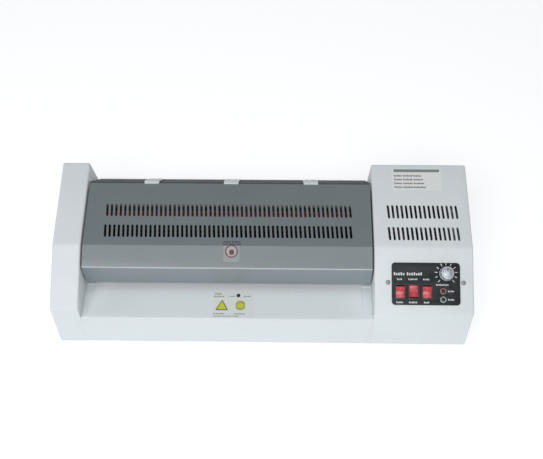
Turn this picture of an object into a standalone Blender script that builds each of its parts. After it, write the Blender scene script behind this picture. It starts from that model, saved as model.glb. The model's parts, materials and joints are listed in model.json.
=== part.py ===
"""Pouch laminator: four rollers in a folded sheet-metal body between two end covers.

Metres, +Z up. The machine stands on its feet at Z = 0 with the origin under its middle,
+X towards the control side and +Y towards the back. Its pieces hang from the empty
"body", which is at the front lower edge of the metalwork. So the numbers below read as
X, depth behind the front face, and height above the underside of the metalwork.
"""

import math

import bmesh
import bpy
from mathutils import Matrix, Vector

# Whole machine
WIDTH = 0.500
DEPTH = 0.226
FOOT_HEIGHT = 0.007
GAP = 0.0004  # between pieces that touch on the real machine

# Side outline of the end covers, as (depth, height)
FRONT_EDGE = (0.0, 0.075)
CREASE = (0.071, 0.109)
REAR_BEND = (0.1875, 0.118)
REAR_FOOT = (0.226, 0.0)
LEFT_WALL = -0.216
RIGHT_WALL = 0.1335
MIDDLE = (LEFT_WALL + RIGHT_WALL) / 2
COVER_SHEET = 0.0015
COVER_BEVEL = 0.0025

# Grey cover over the rollers, as (depth, height) from its lip to its rear edge
LIP_END = (0.0491, 0.0582)
LIP_BEND = (0.047, 0.0955)
GREY_CREASE = (0.072, 0.107)
GREY_REAR_BEND = (0.161, 0.1135)
GREY_END = (0.2078, 0.058)
GREY_SHEET = 0.0012
GREY_SIDE_GAP = 0.002
LIP_TAB_WIDTH = 0.011  # at each end of the lip, which is shorter between the tabs
LIP_HEIGHT = 0.060
LIP_NOTCH = 0.0026  # radius of the relief beside each tab
GREY_BEND_RADIUS = 0.003

# Vent slots, with the two rows given by their depths
SLOT_WIDTH = 0.0028
SLOT_SLANT = math.radians(3.5)
GREY_SLOTS = (-0.1885, 0.00546, 55)  # first slot, pitch, count
GREY_ROWS = ((0.083, 0.1005), (0.112, 0.1295))
WHITE_SLOTS = (0.1522, 0.00544, 16)
WHITE_ROWS = ((0.080, 0.0985), (0.110, 0.129))

# Feed table, rear table and base
TABLE_PATH = ((0.0, GAP), (0.0, 0.056), (0.052, 0.0465), (0.066, 0.046))
TABLE_SHEET = 0.002
POCKET_WIDTH = 0.0115
POCKET_DEPTH = 0.0012
REAR_PATH = ((0.2243, 0.0015), (0.2118, 0.038), (0.175, 0.044))
PAN_SHEET = 0.0012
PAN_HEIGHT = 0.001
PAN_TOP = PAN_HEIGHT + PAN_SHEET
PAN_FLANGE = 0.012

# Rollers: four on a square grid around the film, which passes at FILM
ROLLER_LENGTH = 0.330
ROLLER_PITCH = 0.027
FRONT_ROLLERS = 0.085
REAR_ROLLERS = FRONT_ROLLERS + 2 * ROLLER_PITCH
FILM = 0.046
LOWER_ROLLERS = FILM - ROLLER_PITCH / 2
UPPER_ROLLERS = FILM + ROLLER_PITCH / 2
SLEEVE_RADIUS = 0.01335
CORE_RADIUS = 0.0095
JOURNAL_RADIUS = 0.004
RUNNING_GAP = 0.0003

# Side plates
PLATE = 0.0015
LEFT_PLATE = -0.21125
RIGHT_PLATE = 0.12875
PLATE_OUTLINE = (
    (0.067, 0.0028),
    (0.172, 0.0028),
    (0.172, 0.086),
    (0.158, 0.104),
    (0.072, 0.0985),
    (0.067, 0.095),
)
WINDOW_HALF_WIDTH = 0.008
WINDOW_LOW = 0.051
WINDOW_HIGH = 0.092
PLATE_FLANGE = 0.014
SEAT_HALF_WIDTH = 0.0042  # the springs' seats
SEAT_HALF_DEPTH = 0.006
TIE_BAR = (0.112, 0.084)
BLOCK_HALF_HEIGHT = 0.008
BLOCK_HALF_LENGTH = 0.004

# Gear train, in one plane outside the right side plate
MODULE = 0.0015
ROLLER_TEETH = 18
PINION_TEETH = 12
GEAR_PLANE = 0.1405
GEAR_WIDTH = 0.008
IDLER = (FRONT_ROLLERS + ROLLER_PITCH, LOWER_ROLLERS)
PINION_DISTANCE = MODULE * (ROLLER_TEETH + PINION_TEETH) / 2
PINION = (REAR_ROLLERS + PINION_DISTANCE, LOWER_ROLLERS)

# Control panel, on the sloping face from FRONT_EDGE up to CREASE
PANEL_SIZE = (0.080, 0.050)
PANEL_CENTRE = (0.1935, 0.035)
PANEL_SHEET = 0.0012
PANEL_TOP = RUNNING_GAP + PANEL_SHEET
SWITCHES = (0.1633, 0.1790, 0.1947)
SWITCH_HEIGHT = 0.0255
SWITCH_TILT = math.radians(11)
KNOB = (0.2172, 0.0469)
LAMPS = (("power_lamp", (0.2135, 0.0264)), ("ready_lamp", (0.2135, 0.0166)))
INLET = (0.205, 0.030)
FAN = (0.193, 0.033)

SIDEWAYS = (math.pi / 2, 0, math.pi / 2)  # local x, y, z run along Y, Z, X
SIDEWAYS_BACK = (math.pi / 2, 0, -math.pi / 2)  # local z runs along -X
UPRIGHT = (0, 0, 0)


def clear_scene():
    for obj in list(bpy.data.objects):
        bpy.data.objects.remove(obj)


def collection(name, shown):
    made = bpy.data.collections.new(name)
    bpy.context.scene.collection.children.link(made)
    made.hide_render = not shown
    return made


def material(name, colour, roughness, metallic=0.0):
    made = bpy.data.materials.new(name)
    made.use_nodes = True
    shader = made.node_tree.nodes["Principled BSDF"]
    shader.inputs["Base Color"].default_value = (*colour, 1)
    shader.inputs["Roughness"].default_value = roughness
    shader.inputs["Metallic"].default_value = metallic
    return made


def empty(name, location, rotation, parent=None):
    made = bpy.data.objects.new(name, None)
    parts.objects.link(made)
    made.location = location
    made.rotation_euler = rotation
    made.parent = parent
    return made


def place(name, mesh, paint, parent, location=(0, 0, 0), rotation=UPRIGHT):
    """An object from a mesh. Without paint it is a cutter."""
    made = bpy.data.objects.new(name, mesh)
    if paint:
        parts.objects.link(made)
        if not mesh.materials:
            mesh.materials.append(paint)
    else:
        cutters.objects.link(made)
        made.hide_render = True
        made.display_type = "WIRE"
    made.location = location
    made.rotation_euler = rotation
    made.parent = parent
    return made


def mesh_of(form, name):
    mesh = bpy.data.meshes.new(name)
    form.to_mesh(mesh)
    form.free()
    mesh.shade_smooth()
    mesh.set_sharp_from_angle(angle=math.radians(30))
    return mesh


def add_box(form, low, high, turn=0.0):
    """A box between two corners, turned about the vertical line through its middle."""
    low, high = Vector(low), Vector(high)
    middle = Matrix.Translation((low + high) / 2) @ Matrix.Rotation(turn, 4, "Z")
    bmesh.ops.create_cube(form, size=1, matrix=middle @ Matrix.Diagonal((*(high - low), 1)))


def add_cylinder(form, centre, radius, length, sides=24, along="Z"):
    turn = {"Z": Matrix(), "X": Matrix.Rotation(math.pi / 2, 4, "Y")}[along]
    bmesh.ops.create_cone(
        form,
        cap_ends=True,
        segments=sides,
        radius1=radius,
        radius2=radius,
        depth=length,
        matrix=Matrix.Translation(centre) @ turn,
    )


def boxes(name, corners, paint, parent, **where):
    form = bmesh.new()
    for low, high in corners:
        add_box(form, low, high)
    return place(name, mesh_of(form, name), paint, parent, **where)


def cylinder(name, centre, radius, length, paint, parent, along="X"):
    form = bmesh.new()
    add_cylinder(form, centre, radius, length, along=along)
    return place(name, mesh_of(form, name), paint, parent)


def boolean(obj, other, operation):
    modifier = obj.modifiers.new(operation.lower(), "BOOLEAN")
    modifier.operation = operation
    modifier.object = other


def cut(obj, *others):
    for other in others:
        boolean(obj, other, "DIFFERENCE")


def join(obj, *others):
    for other in others:
        boolean(obj, other, "UNION")


def bevel(obj, width, segments=2):
    modifier = obj.modifiers.new("bevel", "BEVEL")
    modifier.width = width
    modifier.segments = segments
    modifier.limit_method = "ANGLE"
    modifier.angle_limit = math.radians(15)


def evaluated_mesh(obj):
    bpy.context.view_layer.update()
    graph = bpy.context.evaluated_depsgraph_get()
    return bpy.data.meshes.new_from_object(obj.evaluated_get(graph))


def settled_mesh(obj):
    """The mesh of a cut piece in its own axes, for the copies of it. The piece is removed."""
    mesh = evaluated_mesh(obj)
    bpy.data.objects.remove(obj)
    return mesh


def ring(centre, radius, sides):
    """Corners of a regular polygon."""
    angles = [2 * math.pi * i / sides for i in range(sides)]
    return [(centre[0] + radius * math.cos(a), centre[1] + radius * math.sin(a)) for a in angles]


def rectangle(centre, width, height):
    x, y = width / 2, height / 2
    return [(centre[0] + i * x, centre[1] + j * y) for i, j in ((-1, -1), (1, -1), (1, 1), (-1, 1))]


def rounded(path, radius, steps=3, closed=False):
    """The path with an arc at each of its inner corners, or at every corner if it is closed."""
    corners = [Vector(point) for point in path]
    if closed:
        corners = [corners[-1], *corners, corners[0]]
    arcs = []
    for before, corner, after in zip(corners, corners[1:], corners[2:]):
        back = (before - corner).normalized()
        ahead = (after - corner).normalized()
        half = back.angle(ahead) / 2
        centre = corner + (back + ahead).normalized() * radius / math.sin(half)
        start = (corner + back * radius / math.tan(half) - centre).normalized()
        end = (corner + ahead * radius / math.tan(half) - centre).normalized()
        arcs += [centre + radius * start.slerp(end, step / steps) for step in range(steps + 1)]
    return arcs if closed else [corners[0], *arcs, corners[-1]]


def sheet(name, path, ends, thickness, paint, parent, inward=-1, rotation=UPRIGHT):
    """A folded sheet: its outer side follows the (y, z) path and runs in x between the ends."""
    form = bmesh.new()
    points = [form.verts.new((ends[0], y, z)) for y, z in path]
    edges = [form.edges.new(pair) for pair in zip(points, points[1:])]
    swept = bmesh.ops.extrude_edge_only(form, edges=edges)["geom"]
    far = [item for item in swept if isinstance(item, bmesh.types.BMVert)]
    bmesh.ops.translate(form, verts=far, vec=(ends[1] - ends[0], 0, 0))
    made = place(name, mesh_of(form, name), paint, parent, rotation=rotation)
    modifier = made.modifiers.new("thickness", "SOLIDIFY")
    modifier.thickness = thickness
    modifier.offset = inward
    modifier.use_even_offset = True
    return made


def flat_mesh(name, outlines, thickness):
    """A flat piece in local x and y: the first outline is its edge, the others are holes."""
    curve = bpy.data.curves.new(name, "CURVE")
    curve.dimensions = "2D"
    curve.fill_mode = "BOTH"
    curve.extrude = thickness / 2
    for outline in outlines:
        spline = curve.splines.new("POLY")
        spline.points.add(len(outline) - 1)
        for point, (x, y) in zip(spline.points, outline):
            point.co = (x, y, 0, 1)
        spline.use_cyclic_u = True
    drawn = bpy.data.objects.new(name, curve)
    parts.objects.link(drawn)
    filled = evaluated_mesh(drawn)
    bpy.data.objects.remove(drawn)
    form = bmesh.new()
    form.from_mesh(filled)
    bmesh.ops.remove_doubles(form, verts=form.verts, dist=1e-6)
    bmesh.ops.recalc_face_normals(form, faces=form.faces)
    return mesh_of(form, name)


def flat(name, outlines, thickness, paint, parent, location, rotation=SIDEWAYS):
    return place(name, flat_mesh(name, outlines, thickness), paint, parent, location, rotation)


def turned(name, profile, paint, parent, location, rotation=SIDEWAYS, closed=False, steps=24):
    """A body turned about local z: (radius, z) points down its outer side."""
    form = bmesh.new()
    points = [form.verts.new((radius, 0, z)) for radius, z in profile]
    pairs = list(zip(points, points[1:]))
    if closed:
        pairs.append((points[-1], points[0]))
    for pair in pairs:
        form.edges.new(pair)
    made = place(name, mesh_of(form, name), paint, parent, location, rotation)
    modifier = made.modifiers.new("turn", "SCREW")
    modifier.steps = steps
    modifier.render_steps = steps
    modifier.use_merge_vertices = True
    modifier.merge_threshold = 0.00005
    return made


def slot_cutter(name, slots, rows, crease, parent):
    """A cutter for rows of slots, in the frame of the face that starts at the crease."""
    first, pitch, count = slots
    form = bmesh.new()
    for near, far in rows:
        for i in range(count):
            x = first + i * pitch
            low = (x - SLOT_WIDTH / 2, near - crease[0], -0.005)
            high = (x + SLOT_WIDTH / 2, far - crease[0], 0.005)
            add_box(form, low, high, SLOT_SLANT)
    return place(name, mesh_of(form, name), None, parent)


def end_cover(name, outer, wall, parent):
    """A shell that is open underneath, from its outer side to the wall beside the rollers."""
    outline = [(0, 0), FRONT_EDGE, CREASE, REAR_BEND, REAR_FOOT]
    form = bmesh.new()
    form.from_mesh(flat_mesh(name, [outline], abs(outer - wall)))
    flat_edges = {"verts": form.verts, "edges": form.edges}
    bmesh.ops.dissolve_limit(form, angle_limit=math.radians(1), **flat_edges)
    underside = [face for face in form.faces if face.normal.y < -0.9]
    bmesh.ops.delete(form, geom=underside, context="FACES_ONLY")
    location = ((outer + wall) / 2, 0, 0)
    cover = place(name, mesh_of(form, name), white, parent, location, SIDEWAYS)
    bevel(cover, COVER_BEVEL)
    modifier = cover.modifiers.new("thickness", "SOLIDIFY")
    modifier.thickness = COVER_SHEET
    modifier.offset = -1
    modifier.use_even_offset = True
    inside = math.copysign(COVER_SHEET + COVER_BEVEL, outer)
    sides = sorted((wall - inside / 4, wall + inside))
    near, far = 0.0022, REAR_FOOT[0] - 0.0042
    floor = ((sides[0], near, -0.001), (sides[1], far, PAN_TOP + 0.0008))
    cut(cover, boxes(name + "_pan_clearance", [floor], None, parent))
    return cover


def shaft_holes(body):
    """A cutter for the shafts and the idler's stud, where they pass the right cover's inner wall."""
    form = bmesh.new()
    x, length, sides = RIGHT_WALL + COVER_SHEET / 2, 0.005, 12
    for y in (FRONT_ROLLERS, REAR_ROLLERS):
        add_cylinder(form, (x, y, LOWER_ROLLERS), 0.006, length, sides, "X")
        add_cylinder(form, (x, y, UPPER_ROLLERS + 0.001), 0.007, length, sides, "X")
    add_cylinder(form, (x, *IDLER), 0.004, length, sides, "X")
    return place("shaft_holes", mesh_of(form, "shaft_holes"), None, body)


def right_cover(body, control_face, top_face, back_face):
    cover = end_cover("right_end_cover", WIDTH / 2, RIGHT_WALL, body)
    cut(cover, shaft_holes(body))
    cut(cover, slot_cutter("right_cover_slots", WHITE_SLOTS, WHITE_ROWS, CREASE, top_face))
    cut(cover, panel_cutter(control_face))
    x, y = -INLET[0], INLET[1]
    socket = ((x - 0.0116, y - 0.0091, -0.004), (x + 0.0116, y + 0.0091, 0.004))
    cut(cover, boxes("inlet_hole", [socket], None, back_face))


def top_cover(body, grey_face):
    path = rounded((LIP_END, LIP_BEND, GREY_CREASE, GREY_REAR_BEND, GREY_END), GREY_BEND_RADIUS)
    ends = (LEFT_WALL + GREY_SIDE_GAP, RIGHT_WALL - GREY_SIDE_GAP)
    cover = sheet("top_cover", path, ends, GREY_SHEET, grey, body)
    cut(cover, slot_cutter("top_cover_slots", GREY_SLOTS, GREY_ROWS, GREY_CREASE, grey_face))
    cut(cover, lip_cutter(ends, body))


def lip_cutter(ends, body):
    """A cutter that shortens the lip between its end tabs, with a round relief beside each tab."""
    low, high = ends[0] + LIP_TAB_WIDTH, ends[1] - LIP_TAB_WIDTH
    middle, width, thickness = (low + high) / 2, high - low, 0.008
    outline = [(-width / 2, -0.004), (width / 2, -0.004)]
    for side in (1, -1):
        for step in range(5):
            angle = math.pi * step / 4
            centre = side * (width / 2 - LIP_NOTCH)
            outline.append((centre + LIP_NOTCH * math.cos(angle), LIP_NOTCH * math.sin(angle)))
    where = (middle, LIP_END[0], LIP_HEIGHT)
    return flat("lip_cutter", [outline], thickness, None, body, where, (math.pi / 2, 0, 0))


def cover_clips(body):
    """Three clips that hook over the rear bend of the grey cover."""
    lift, thickness, width = 0.0020, 0.0016, 0.018
    bend = Vector(GREY_REAR_BEND)
    ahead = (Vector(GREY_CREASE) - bend).normalized()
    down = (Vector(GREY_END) - bend).normalized()
    half = ahead.angle(down) / 2
    corner = bend - (ahead + down).normalized() * lift / math.sin(half)
    path = rounded((corner + ahead * 0.004, corner, corner + down * 0.045), 0.005)
    for i, x in enumerate((-0.137, -0.039, 0.059), 1):
        ends = (x - width / 2, x + width / 2)
        sheet(f"cover_clip_{i}", path, ends, thickness, white, body)


def feed_table(body, table_face):
    """The front fascia with the feed table behind it, in one folded sheet."""
    ends = (LEFT_WALL + GAP, RIGHT_WALL - GAP)
    table = sheet("feed_table", rounded(TABLE_PATH, 0.0025), ends, TABLE_SHEET, white, body)
    near, far, top = 0.010, 0.0545, 0.004
    pockets = [
        ((ends[0] - 0.001, near, -POCKET_DEPTH), (ends[0] + POCKET_WIDTH, far, top)),
        ((ends[1] - POCKET_WIDTH, near, -POCKET_DEPTH), (ends[1] + 0.001, far, top)),
    ]
    cut(table, boxes("table_pockets", pockets, None, table_face))


def rear_panel(body):
    """The back wall with the exit table on top of it, in one folded sheet."""
    ends = (LEFT_WALL + GAP, RIGHT_WALL - GAP)
    sheet("rear_panel", rounded(REAR_PATH, 0.003), ends, 0.0012, white, body, inward=1)


def base_pan(body):
    """A tray with a flange up each end. Its path runs across the machine."""
    half = WIDTH / 2 - 0.0035
    high = PAN_HEIGHT + PAN_FLANGE
    path = ((-half, high), (-half, PAN_HEIGHT), (half, PAN_HEIGHT), (half, high))
    turn = (0, 0, math.pi / 2)
    sheet("base_pan", rounded(path, 0.002), (0.0045, 0.2195), PAN_SHEET, steel, body, 1, turn)


def feet(body):
    spots = [(x, y) for y in (0.026, 0.192) for x in (-0.225, 0.225)]
    profile = ((0, 0.0005), (0.009, 0.0005), (0.009, -0.005), (0.008, -FOOT_HEIGHT), (0, -FOOT_HEIGHT))
    for name, (x, y) in zip(("front_left", "front_right", "rear_left", "rear_right"), spots):
        turned(name + "_foot", profile, rubber, body, (x, y, 0), UPRIGHT, steps=20)


def side_plate(name, centre, inward, body):
    holes = [ring((y, LOWER_ROLLERS), 0.0073, 20) for y in (FRONT_ROLLERS, REAR_ROLLERS)]
    holes.append(ring(TIE_BAR, 0.0034, 12))
    plate = flat(name, [PLATE_OUTLINE, *holes], PLATE, steel, body, (centre, 0, 0))
    flange = sorted((centre, centre + inward * PLATE_FLANGE))
    floor, seat = PAN_TOP + GAP, WINDOW_HIGH + 0.0006
    windows = []
    added = [((flange[0], 0.0675, floor), (flange[1], 0.1715, floor + PLATE))]
    for y in (FRONT_ROLLERS, REAR_ROLLERS):
        near, far = y - WINDOW_HALF_WIDTH, y + WINDOW_HALF_WIDTH
        windows.append(((centre - PLATE, near, WINDOW_LOW), (centre + PLATE, far, WINDOW_HIGH)))
        low = (centre - SEAT_HALF_WIDTH, y - SEAT_HALF_DEPTH, seat)
        high = (centre + SEAT_HALF_WIDTH, y + SEAT_HALF_DEPTH, seat + PLATE)
        added.append((low, high))
    cut(plate, boxes(name + "_windows", windows, None, body))
    join(plate, boxes(name + "_flange_and_seats", added, None, body))
    return plate


def side_plates(body):
    side_plate("left_side_plate", LEFT_PLATE, 1, body)
    right = side_plate("right_side_plate", RIGHT_PLATE, -1, body)
    stud_end = GEAR_PLANE + GEAR_WIDTH / 2 + 0.0005
    middle = ((RIGHT_PLATE + stud_end) / 2, *IDLER)
    join(right, cylinder("idler_stud", middle, 0.0025, stud_end - RIGHT_PLATE, None, body))


def tie_bar(body):
    inner = (RIGHT_PLATE - LEFT_PLATE) / 2 - PLATE / 2 - GAP
    outer = (RIGHT_PLATE - LEFT_PLATE) / 2 + PLATE / 2 + 0.002
    profile = (
        (0, outer), (0.003, outer), (0.003, inner), (0.005, inner),
        (0.005, -inner), (0.003, -inner), (0.003, -outer), (0, -outer),
    )
    turned("frame_tie_bar", profile, steel, body, ((LEFT_PLATE + RIGHT_PLATE) / 2, *TIE_BAR), steps=16)


def roller(name, y, z, body):
    """A steel shaft with a silicone sleeve around its thick middle."""
    half = ROLLER_LENGTH / 2
    right = GEAR_PLANE + GEAR_WIDTH / 2 + 0.001 - MIDDLE
    left = LEFT_WALL + 0.0012 - MIDDLE
    shaft = (
        (0, right), (JOURNAL_RADIUS, right), (JOURNAL_RADIUS, half), (CORE_RADIUS, half),
        (CORE_RADIUS, -half), (JOURNAL_RADIUS, -half), (JOURNAL_RADIUS, left), (0, left),
    )
    bore = CORE_RADIUS + RUNNING_GAP
    sleeve = ((SLEEVE_RADIUS, half), (SLEEVE_RADIUS, -half), (bore, -half), (bore, half))
    turned(name + "_shaft", shaft, steel, body, (MIDDLE, y, z), steps=16)
    turned(name + "_sleeve", sleeve, silicone, body, (MIDDLE, y, z), closed=True, steps=24)


def bushes(name, y, body):
    """Two flanged bushes for a lower roller, with their flanges towards the roller."""
    bore = JOURNAL_RADIUS + RUNNING_GAP
    profile = (
        (0.007, 0.0022), (0.007, -0.0011), (0.009, -0.0011),
        (0.009, -0.003), (bore, -0.003), (bore, 0.0022),
    )
    for side, x, turn in (("left", LEFT_PLATE, SIDEWAYS_BACK), ("right", RIGHT_PLATE, SIDEWAYS)):
        place_at = (x, y, LOWER_ROLLERS)
        turned(f"{name}_{side}_bush", profile, bronze, body, place_at, turn, closed=True, steps=16)


def block_mesh(body):
    """A sliding block, grooved along both sides for the edges of its window."""
    half_depth, groove_floor, groove = 0.0097, 0.0077, 0.0011
    low = (-BLOCK_HALF_LENGTH, -half_depth, -BLOCK_HALF_HEIGHT)
    high = (BLOCK_HALF_LENGTH, half_depth, BLOCK_HALF_HEIGHT)
    block = boxes("bearing_block", [(low, high)], nylon, body)
    form = bmesh.new()
    for side in (-1, 1):
        near, far = sorted((side * groove_floor, side * 0.011))
        add_box(form, (-groove, near, -0.01), (groove, far, 0.01))
    add_cylinder(form, (0, 0, 0), JOURNAL_RADIUS + RUNNING_GAP, 0.02, 16, "X")
    cut(block, place("block_cutter", mesh_of(form, "block_cutter"), None, body))
    return settled_mesh(block)


def blocks_and_springs(body):
    """The upper rollers' sliding blocks, each with the spring that presses it down."""
    mesh = block_mesh(body)
    for row, y in (("front", FRONT_ROLLERS), ("rear", REAR_ROLLERS)):
        for side, x in (("left", LEFT_PLATE), ("right", RIGHT_PLATE)):
            where = (x, y, UPPER_ROLLERS)
            place(f"upper_{row}_{side}_bearing_block", mesh, nylon, body, where)
            pressure_spring(f"upper_{row}_{side}_spring", x, y, body)


def pressure_spring(name, x, y, body):
    wire, radius, turns, steps = 0.0006, 0.0036, 3.5, 8
    low = UPPER_ROLLERS + BLOCK_HALF_HEIGHT + RUNNING_GAP + wire
    high = WINDOW_HIGH - RUNNING_GAP - wire
    curve = bpy.data.curves.new(name, "CURVE")
    curve.dimensions = "3D"
    curve.bevel_depth = wire
    curve.bevel_resolution = 2
    curve.use_fill_caps = True
    curve.materials.append(steel)
    count = int(turns * steps) + 1
    spline = curve.splines.new("POLY")
    spline.points.add(count - 1)
    for i, point in enumerate(spline.points):
        angle = 2 * math.pi * i / steps
        height = (high - low) * i / (count - 1)
        point.co = (radius * math.cos(angle), radius * math.sin(angle), height, 1)
    made = bpy.data.objects.new(name, curve)
    parts.objects.link(made)
    made.location = (x, y, low)
    made.parent = body


def gear_outline(teeth, phase):
    """A spur gear with straight flanks. The phase turns its first tooth from local x."""
    pitch = MODULE * teeth / 2
    radii = (pitch - 1.25 * MODULE, pitch + 0.8 * MODULE)
    half_widths = (0.00145, 0.00055)
    corners = [(r, half / r) for r, half in zip(radii, half_widths)]
    flanks = [(r, -a) for r, a in corners] + [(r, a) for r, a in reversed(corners)]
    points = []
    for tooth in range(teeth):
        centre = phase + 2 * math.pi * tooth / teeth
        points += [(r * math.cos(centre + a), r * math.sin(centre + a)) for r, a in flanks]
    return points


def gear(name, y, z, teeth, phase, bore, body):
    outlines = [gear_outline(teeth, phase)]
    if bore:
        outlines.append(ring((0, 0), bore, 16))
    return flat(name, outlines, GEAR_WIDTH, nylon, body, (GEAR_PLANE, y, z))


def gear_train(body):
    """Five equal gears and the pinion, phased so that a tooth always faces a gap."""
    half_tooth = math.pi / ROLLER_TEETH
    bore = JOURNAL_RADIUS + RUNNING_GAP
    gear("lower_front_gear", FRONT_ROLLERS, LOWER_ROLLERS, ROLLER_TEETH, 0, bore, body)
    gear("lower_rear_gear", REAR_ROLLERS, LOWER_ROLLERS, ROLLER_TEETH, 0, bore, body)
    gear("upper_front_gear", FRONT_ROLLERS, UPPER_ROLLERS, ROLLER_TEETH, half_tooth, bore, body)
    gear("upper_rear_gear", REAR_ROLLERS, UPPER_ROLLERS, ROLLER_TEETH, half_tooth, bore, body)
    gear("idler_gear", *IDLER, ROLLER_TEETH, half_tooth, 0.0025 + RUNNING_GAP, body)
    pinion = gear("motor_pinion", *PINION, PINION_TEETH, math.pi / PINION_TEETH, None, body)
    middle = (GEAR_PLANE + 0.008, *PINION)
    join(pinion, cylinder("pinion_shaft", middle, 0.0025, 0.010, None, body))


def gear_motor(body):
    """A flat gearbox with its motor behind it, on a foot that stands on the base pan."""
    face = GEAR_PLANE + GEAR_WIDTH / 2 + 0.0025
    profile = ((0, 0.031), (0.019, 0.031), (0.019, 0.014), (0.025, 0.014), (0.025, 0), (0, 0))
    motor = turned("gear_motor", profile, steel, body, (face, *PINION), steps=32)
    near, far = PINION[0] - 0.021, PINION[0] + 0.021
    left, floor = face + 0.0005, PAN_TOP + GAP
    foot = ((left, near, floor), (left + 0.0195, far, floor + 0.002))
    web = ((left, near, floor + 0.001), (left + 0.002, far, 0.030))
    join(motor, boxes("motor_foot", [foot], None, body), boxes("motor_web", [web], None, body))
    cut(motor, cylinder("motor_bore", (face, *PINION), 0.0025 + RUNNING_GAP, 0.020, None, body))


def heater_plates(body):
    """Two aluminium channels between the roller pairs, one below and one above the film."""
    length = RIGHT_PLATE - LEFT_PLATE - PLATE - 2 * GAP
    half, wall, height, film_gap = 0.011, 0.002, 0.010, 0.0014
    section = (
        (-half, 0), (half, 0), (half, height), (half - wall, height),
        (half - wall, wall), (wall - half, wall), (wall - half, height), (-half, height),
    )
    for name, side in (("lower_heater_plate", -1), ("upper_heater_plate", 1)):
        outline = [(y, side * z) for y, z in section]
        where = ((LEFT_PLATE + RIGHT_PLATE) / 2, IDLER[0], FILM + side * film_gap)
        flat(name, [outline], length, anodised, body, where)


def cooling_fan(top_face):
    """A square fan that hangs under the vents of the right cover."""
    size, depth, hub = 0.060, 0.015, 0.012
    top = -COVER_SHEET - GAP
    outline = rounded(rectangle((0, 0), size, size), 0.004, closed=True)
    where = (*FAN, top - depth / 2)
    outlines = [outline, ring((0, 0), 0.0285, 32)]
    frame = flat("fan_frame", outlines, depth, black, top_face, where, UPRIGHT)
    low = top - depth
    x, y = FAN
    arms = [
        ((x - 0.0292, y - 0.002, low + 0.0001), (x + 0.0292, y + 0.002, low + 0.002)),
        ((x - 0.002, y - 0.0292, low + 0.0002), (x + 0.002, y + 0.0292, low + 0.0021)),
    ]
    for i, arm in enumerate(arms):
        join(frame, boxes(f"fan_arm_{i}", [arm], None, top_face))
    join(frame, cylinder("fan_hub_plate", (x, y, low + 0.00155), hub, 0.0025, None, top_face, "Z"))
    join(frame, cylinder("fan_pin", (x, y, low + 0.006), 0.0015, 0.009, None, top_face, "Z"))
    fan_rotor(x, y, low + 0.0034, depth - 0.005, top_face)


def fan_rotor(x, y, low, height, top_face):
    hub, tip, blades = 0.011, 0.027, 7
    bore_top = height - 0.0015
    profile = (
        (0, bore_top), (0.0019, bore_top), (0.0019, 0), (hub, 0),
        (hub, height), (0, height),
    )
    rotor = turned("fan_rotor", profile[::-1], black, top_face, (x, y, low), UPRIGHT)
    form = bmesh.new()
    for i in range(blades):
        turn = Matrix.Rotation(2 * math.pi * i / blades, 4, "Z")
        middle = Matrix.Translation(((hub + tip) / 2 - 0.0005, 0, height / 2))
        pitch = Matrix.Rotation(math.radians(50), 4, "X")
        size = Matrix.Diagonal((tip - hub + 0.001, 0.001, height, 1))
        bmesh.ops.create_cube(form, size=1, matrix=turn @ middle @ pitch @ size)
    mesh = mesh_of(form, "fan_blades")
    join(rotor, place("fan_blades", mesh, None, top_face, (x, y, low)))


def panel_holes(clearance):
    holes = [rectangle((x, SWITCH_HEIGHT), 0.0126 + clearance, 0.0174 + clearance) for x in SWITCHES]
    holes.append(ring(KNOB, 0.0048 + clearance / 2, 16))
    return holes + [ring(spot, 0.0031 + clearance / 2, 16) for _, spot in LAMPS]


def panel_cutter(control_face):
    form = bmesh.new()
    for x in SWITCHES:
        low = (x - 0.0066, SWITCH_HEIGHT - 0.0090, -0.005)
        high = (x + 0.0066, SWITCH_HEIGHT + 0.0090, 0.005)
        add_box(form, low, high)
    add_cylinder(form, (*KNOB, 0), 0.0051, 0.01, 16)
    for _, spot in LAMPS:
        add_cylinder(form, (*spot, 0), 0.0034, 0.01, 16)
    return place("panel_openings", mesh_of(form, "panel_openings"), None, control_face)


def control_panel(control_face):
    edge = rounded(rectangle(PANEL_CENTRE, *PANEL_SIZE), 0.004, closed=True)
    where = (0, 0, RUNNING_GAP + PANEL_SHEET / 2)
    outlines = [edge, *panel_holes(0.0006)]
    flat("control_panel", outlines, PANEL_SHEET, black, control_face, where, UPRIGHT)


def switch_frame_mesh(control_face):
    """A switch housing: a rim on the panel and a box below it, hollow for the rocker."""
    rim_low, rim_top = PANEL_TOP + RUNNING_GAP, PANEL_TOP + 0.0019
    rim = ((-0.0067, -0.0093, rim_low), (0.0067, 0.0093, rim_top))
    box_below = ((-0.0062, -0.0086, -0.013), (0.0062, 0.0086, rim_top - 0.0003))
    hollow = ((-0.00545, -0.0078, -0.009), (0.00545, 0.0078, 0.01))
    frame = boxes("switch_frame", [rim], black, control_face)
    join(frame, boxes("switch_box", [box_below], None, control_face))
    cut(frame, boxes("switch_hollow", [hollow], None, control_face))
    return frame


def rocker_outline(tilt):
    """A shallow V on top and a short keel below, tilted about the pivot."""
    points = (
        (-0.0068, 0.0045), (0, 0.0032), (0.0068, 0.0045), (0.0068, 0.0005),
        (0.0042, -0.0025), (-0.0042, -0.0025), (-0.0068, 0.0005),
    )
    turn = Matrix.Rotation(tilt, 2)
    return [turn @ Vector(point) for point in points]


def rocker_switches(control_face):
    frame = switch_frame_mesh(control_face)
    mesh = evaluated_mesh(frame)
    mesh.transform(frame.matrix_basis.inverted())
    bpy.data.objects.remove(frame)
    names = ("power", "direction", "mode")
    for name, x, side in zip(names, SWITCHES, (1, -1, 1)):
        place(f"{name}_switch_frame", mesh, black, control_face, (x, SWITCH_HEIGHT, 0))
        pivot = (x, SWITCH_HEIGHT, -0.0005)
        outline = rocker_outline(side * SWITCH_TILT)
        flat(f"{name}_rocker", [outline], 0.0103, red, control_face, pivot)


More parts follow.
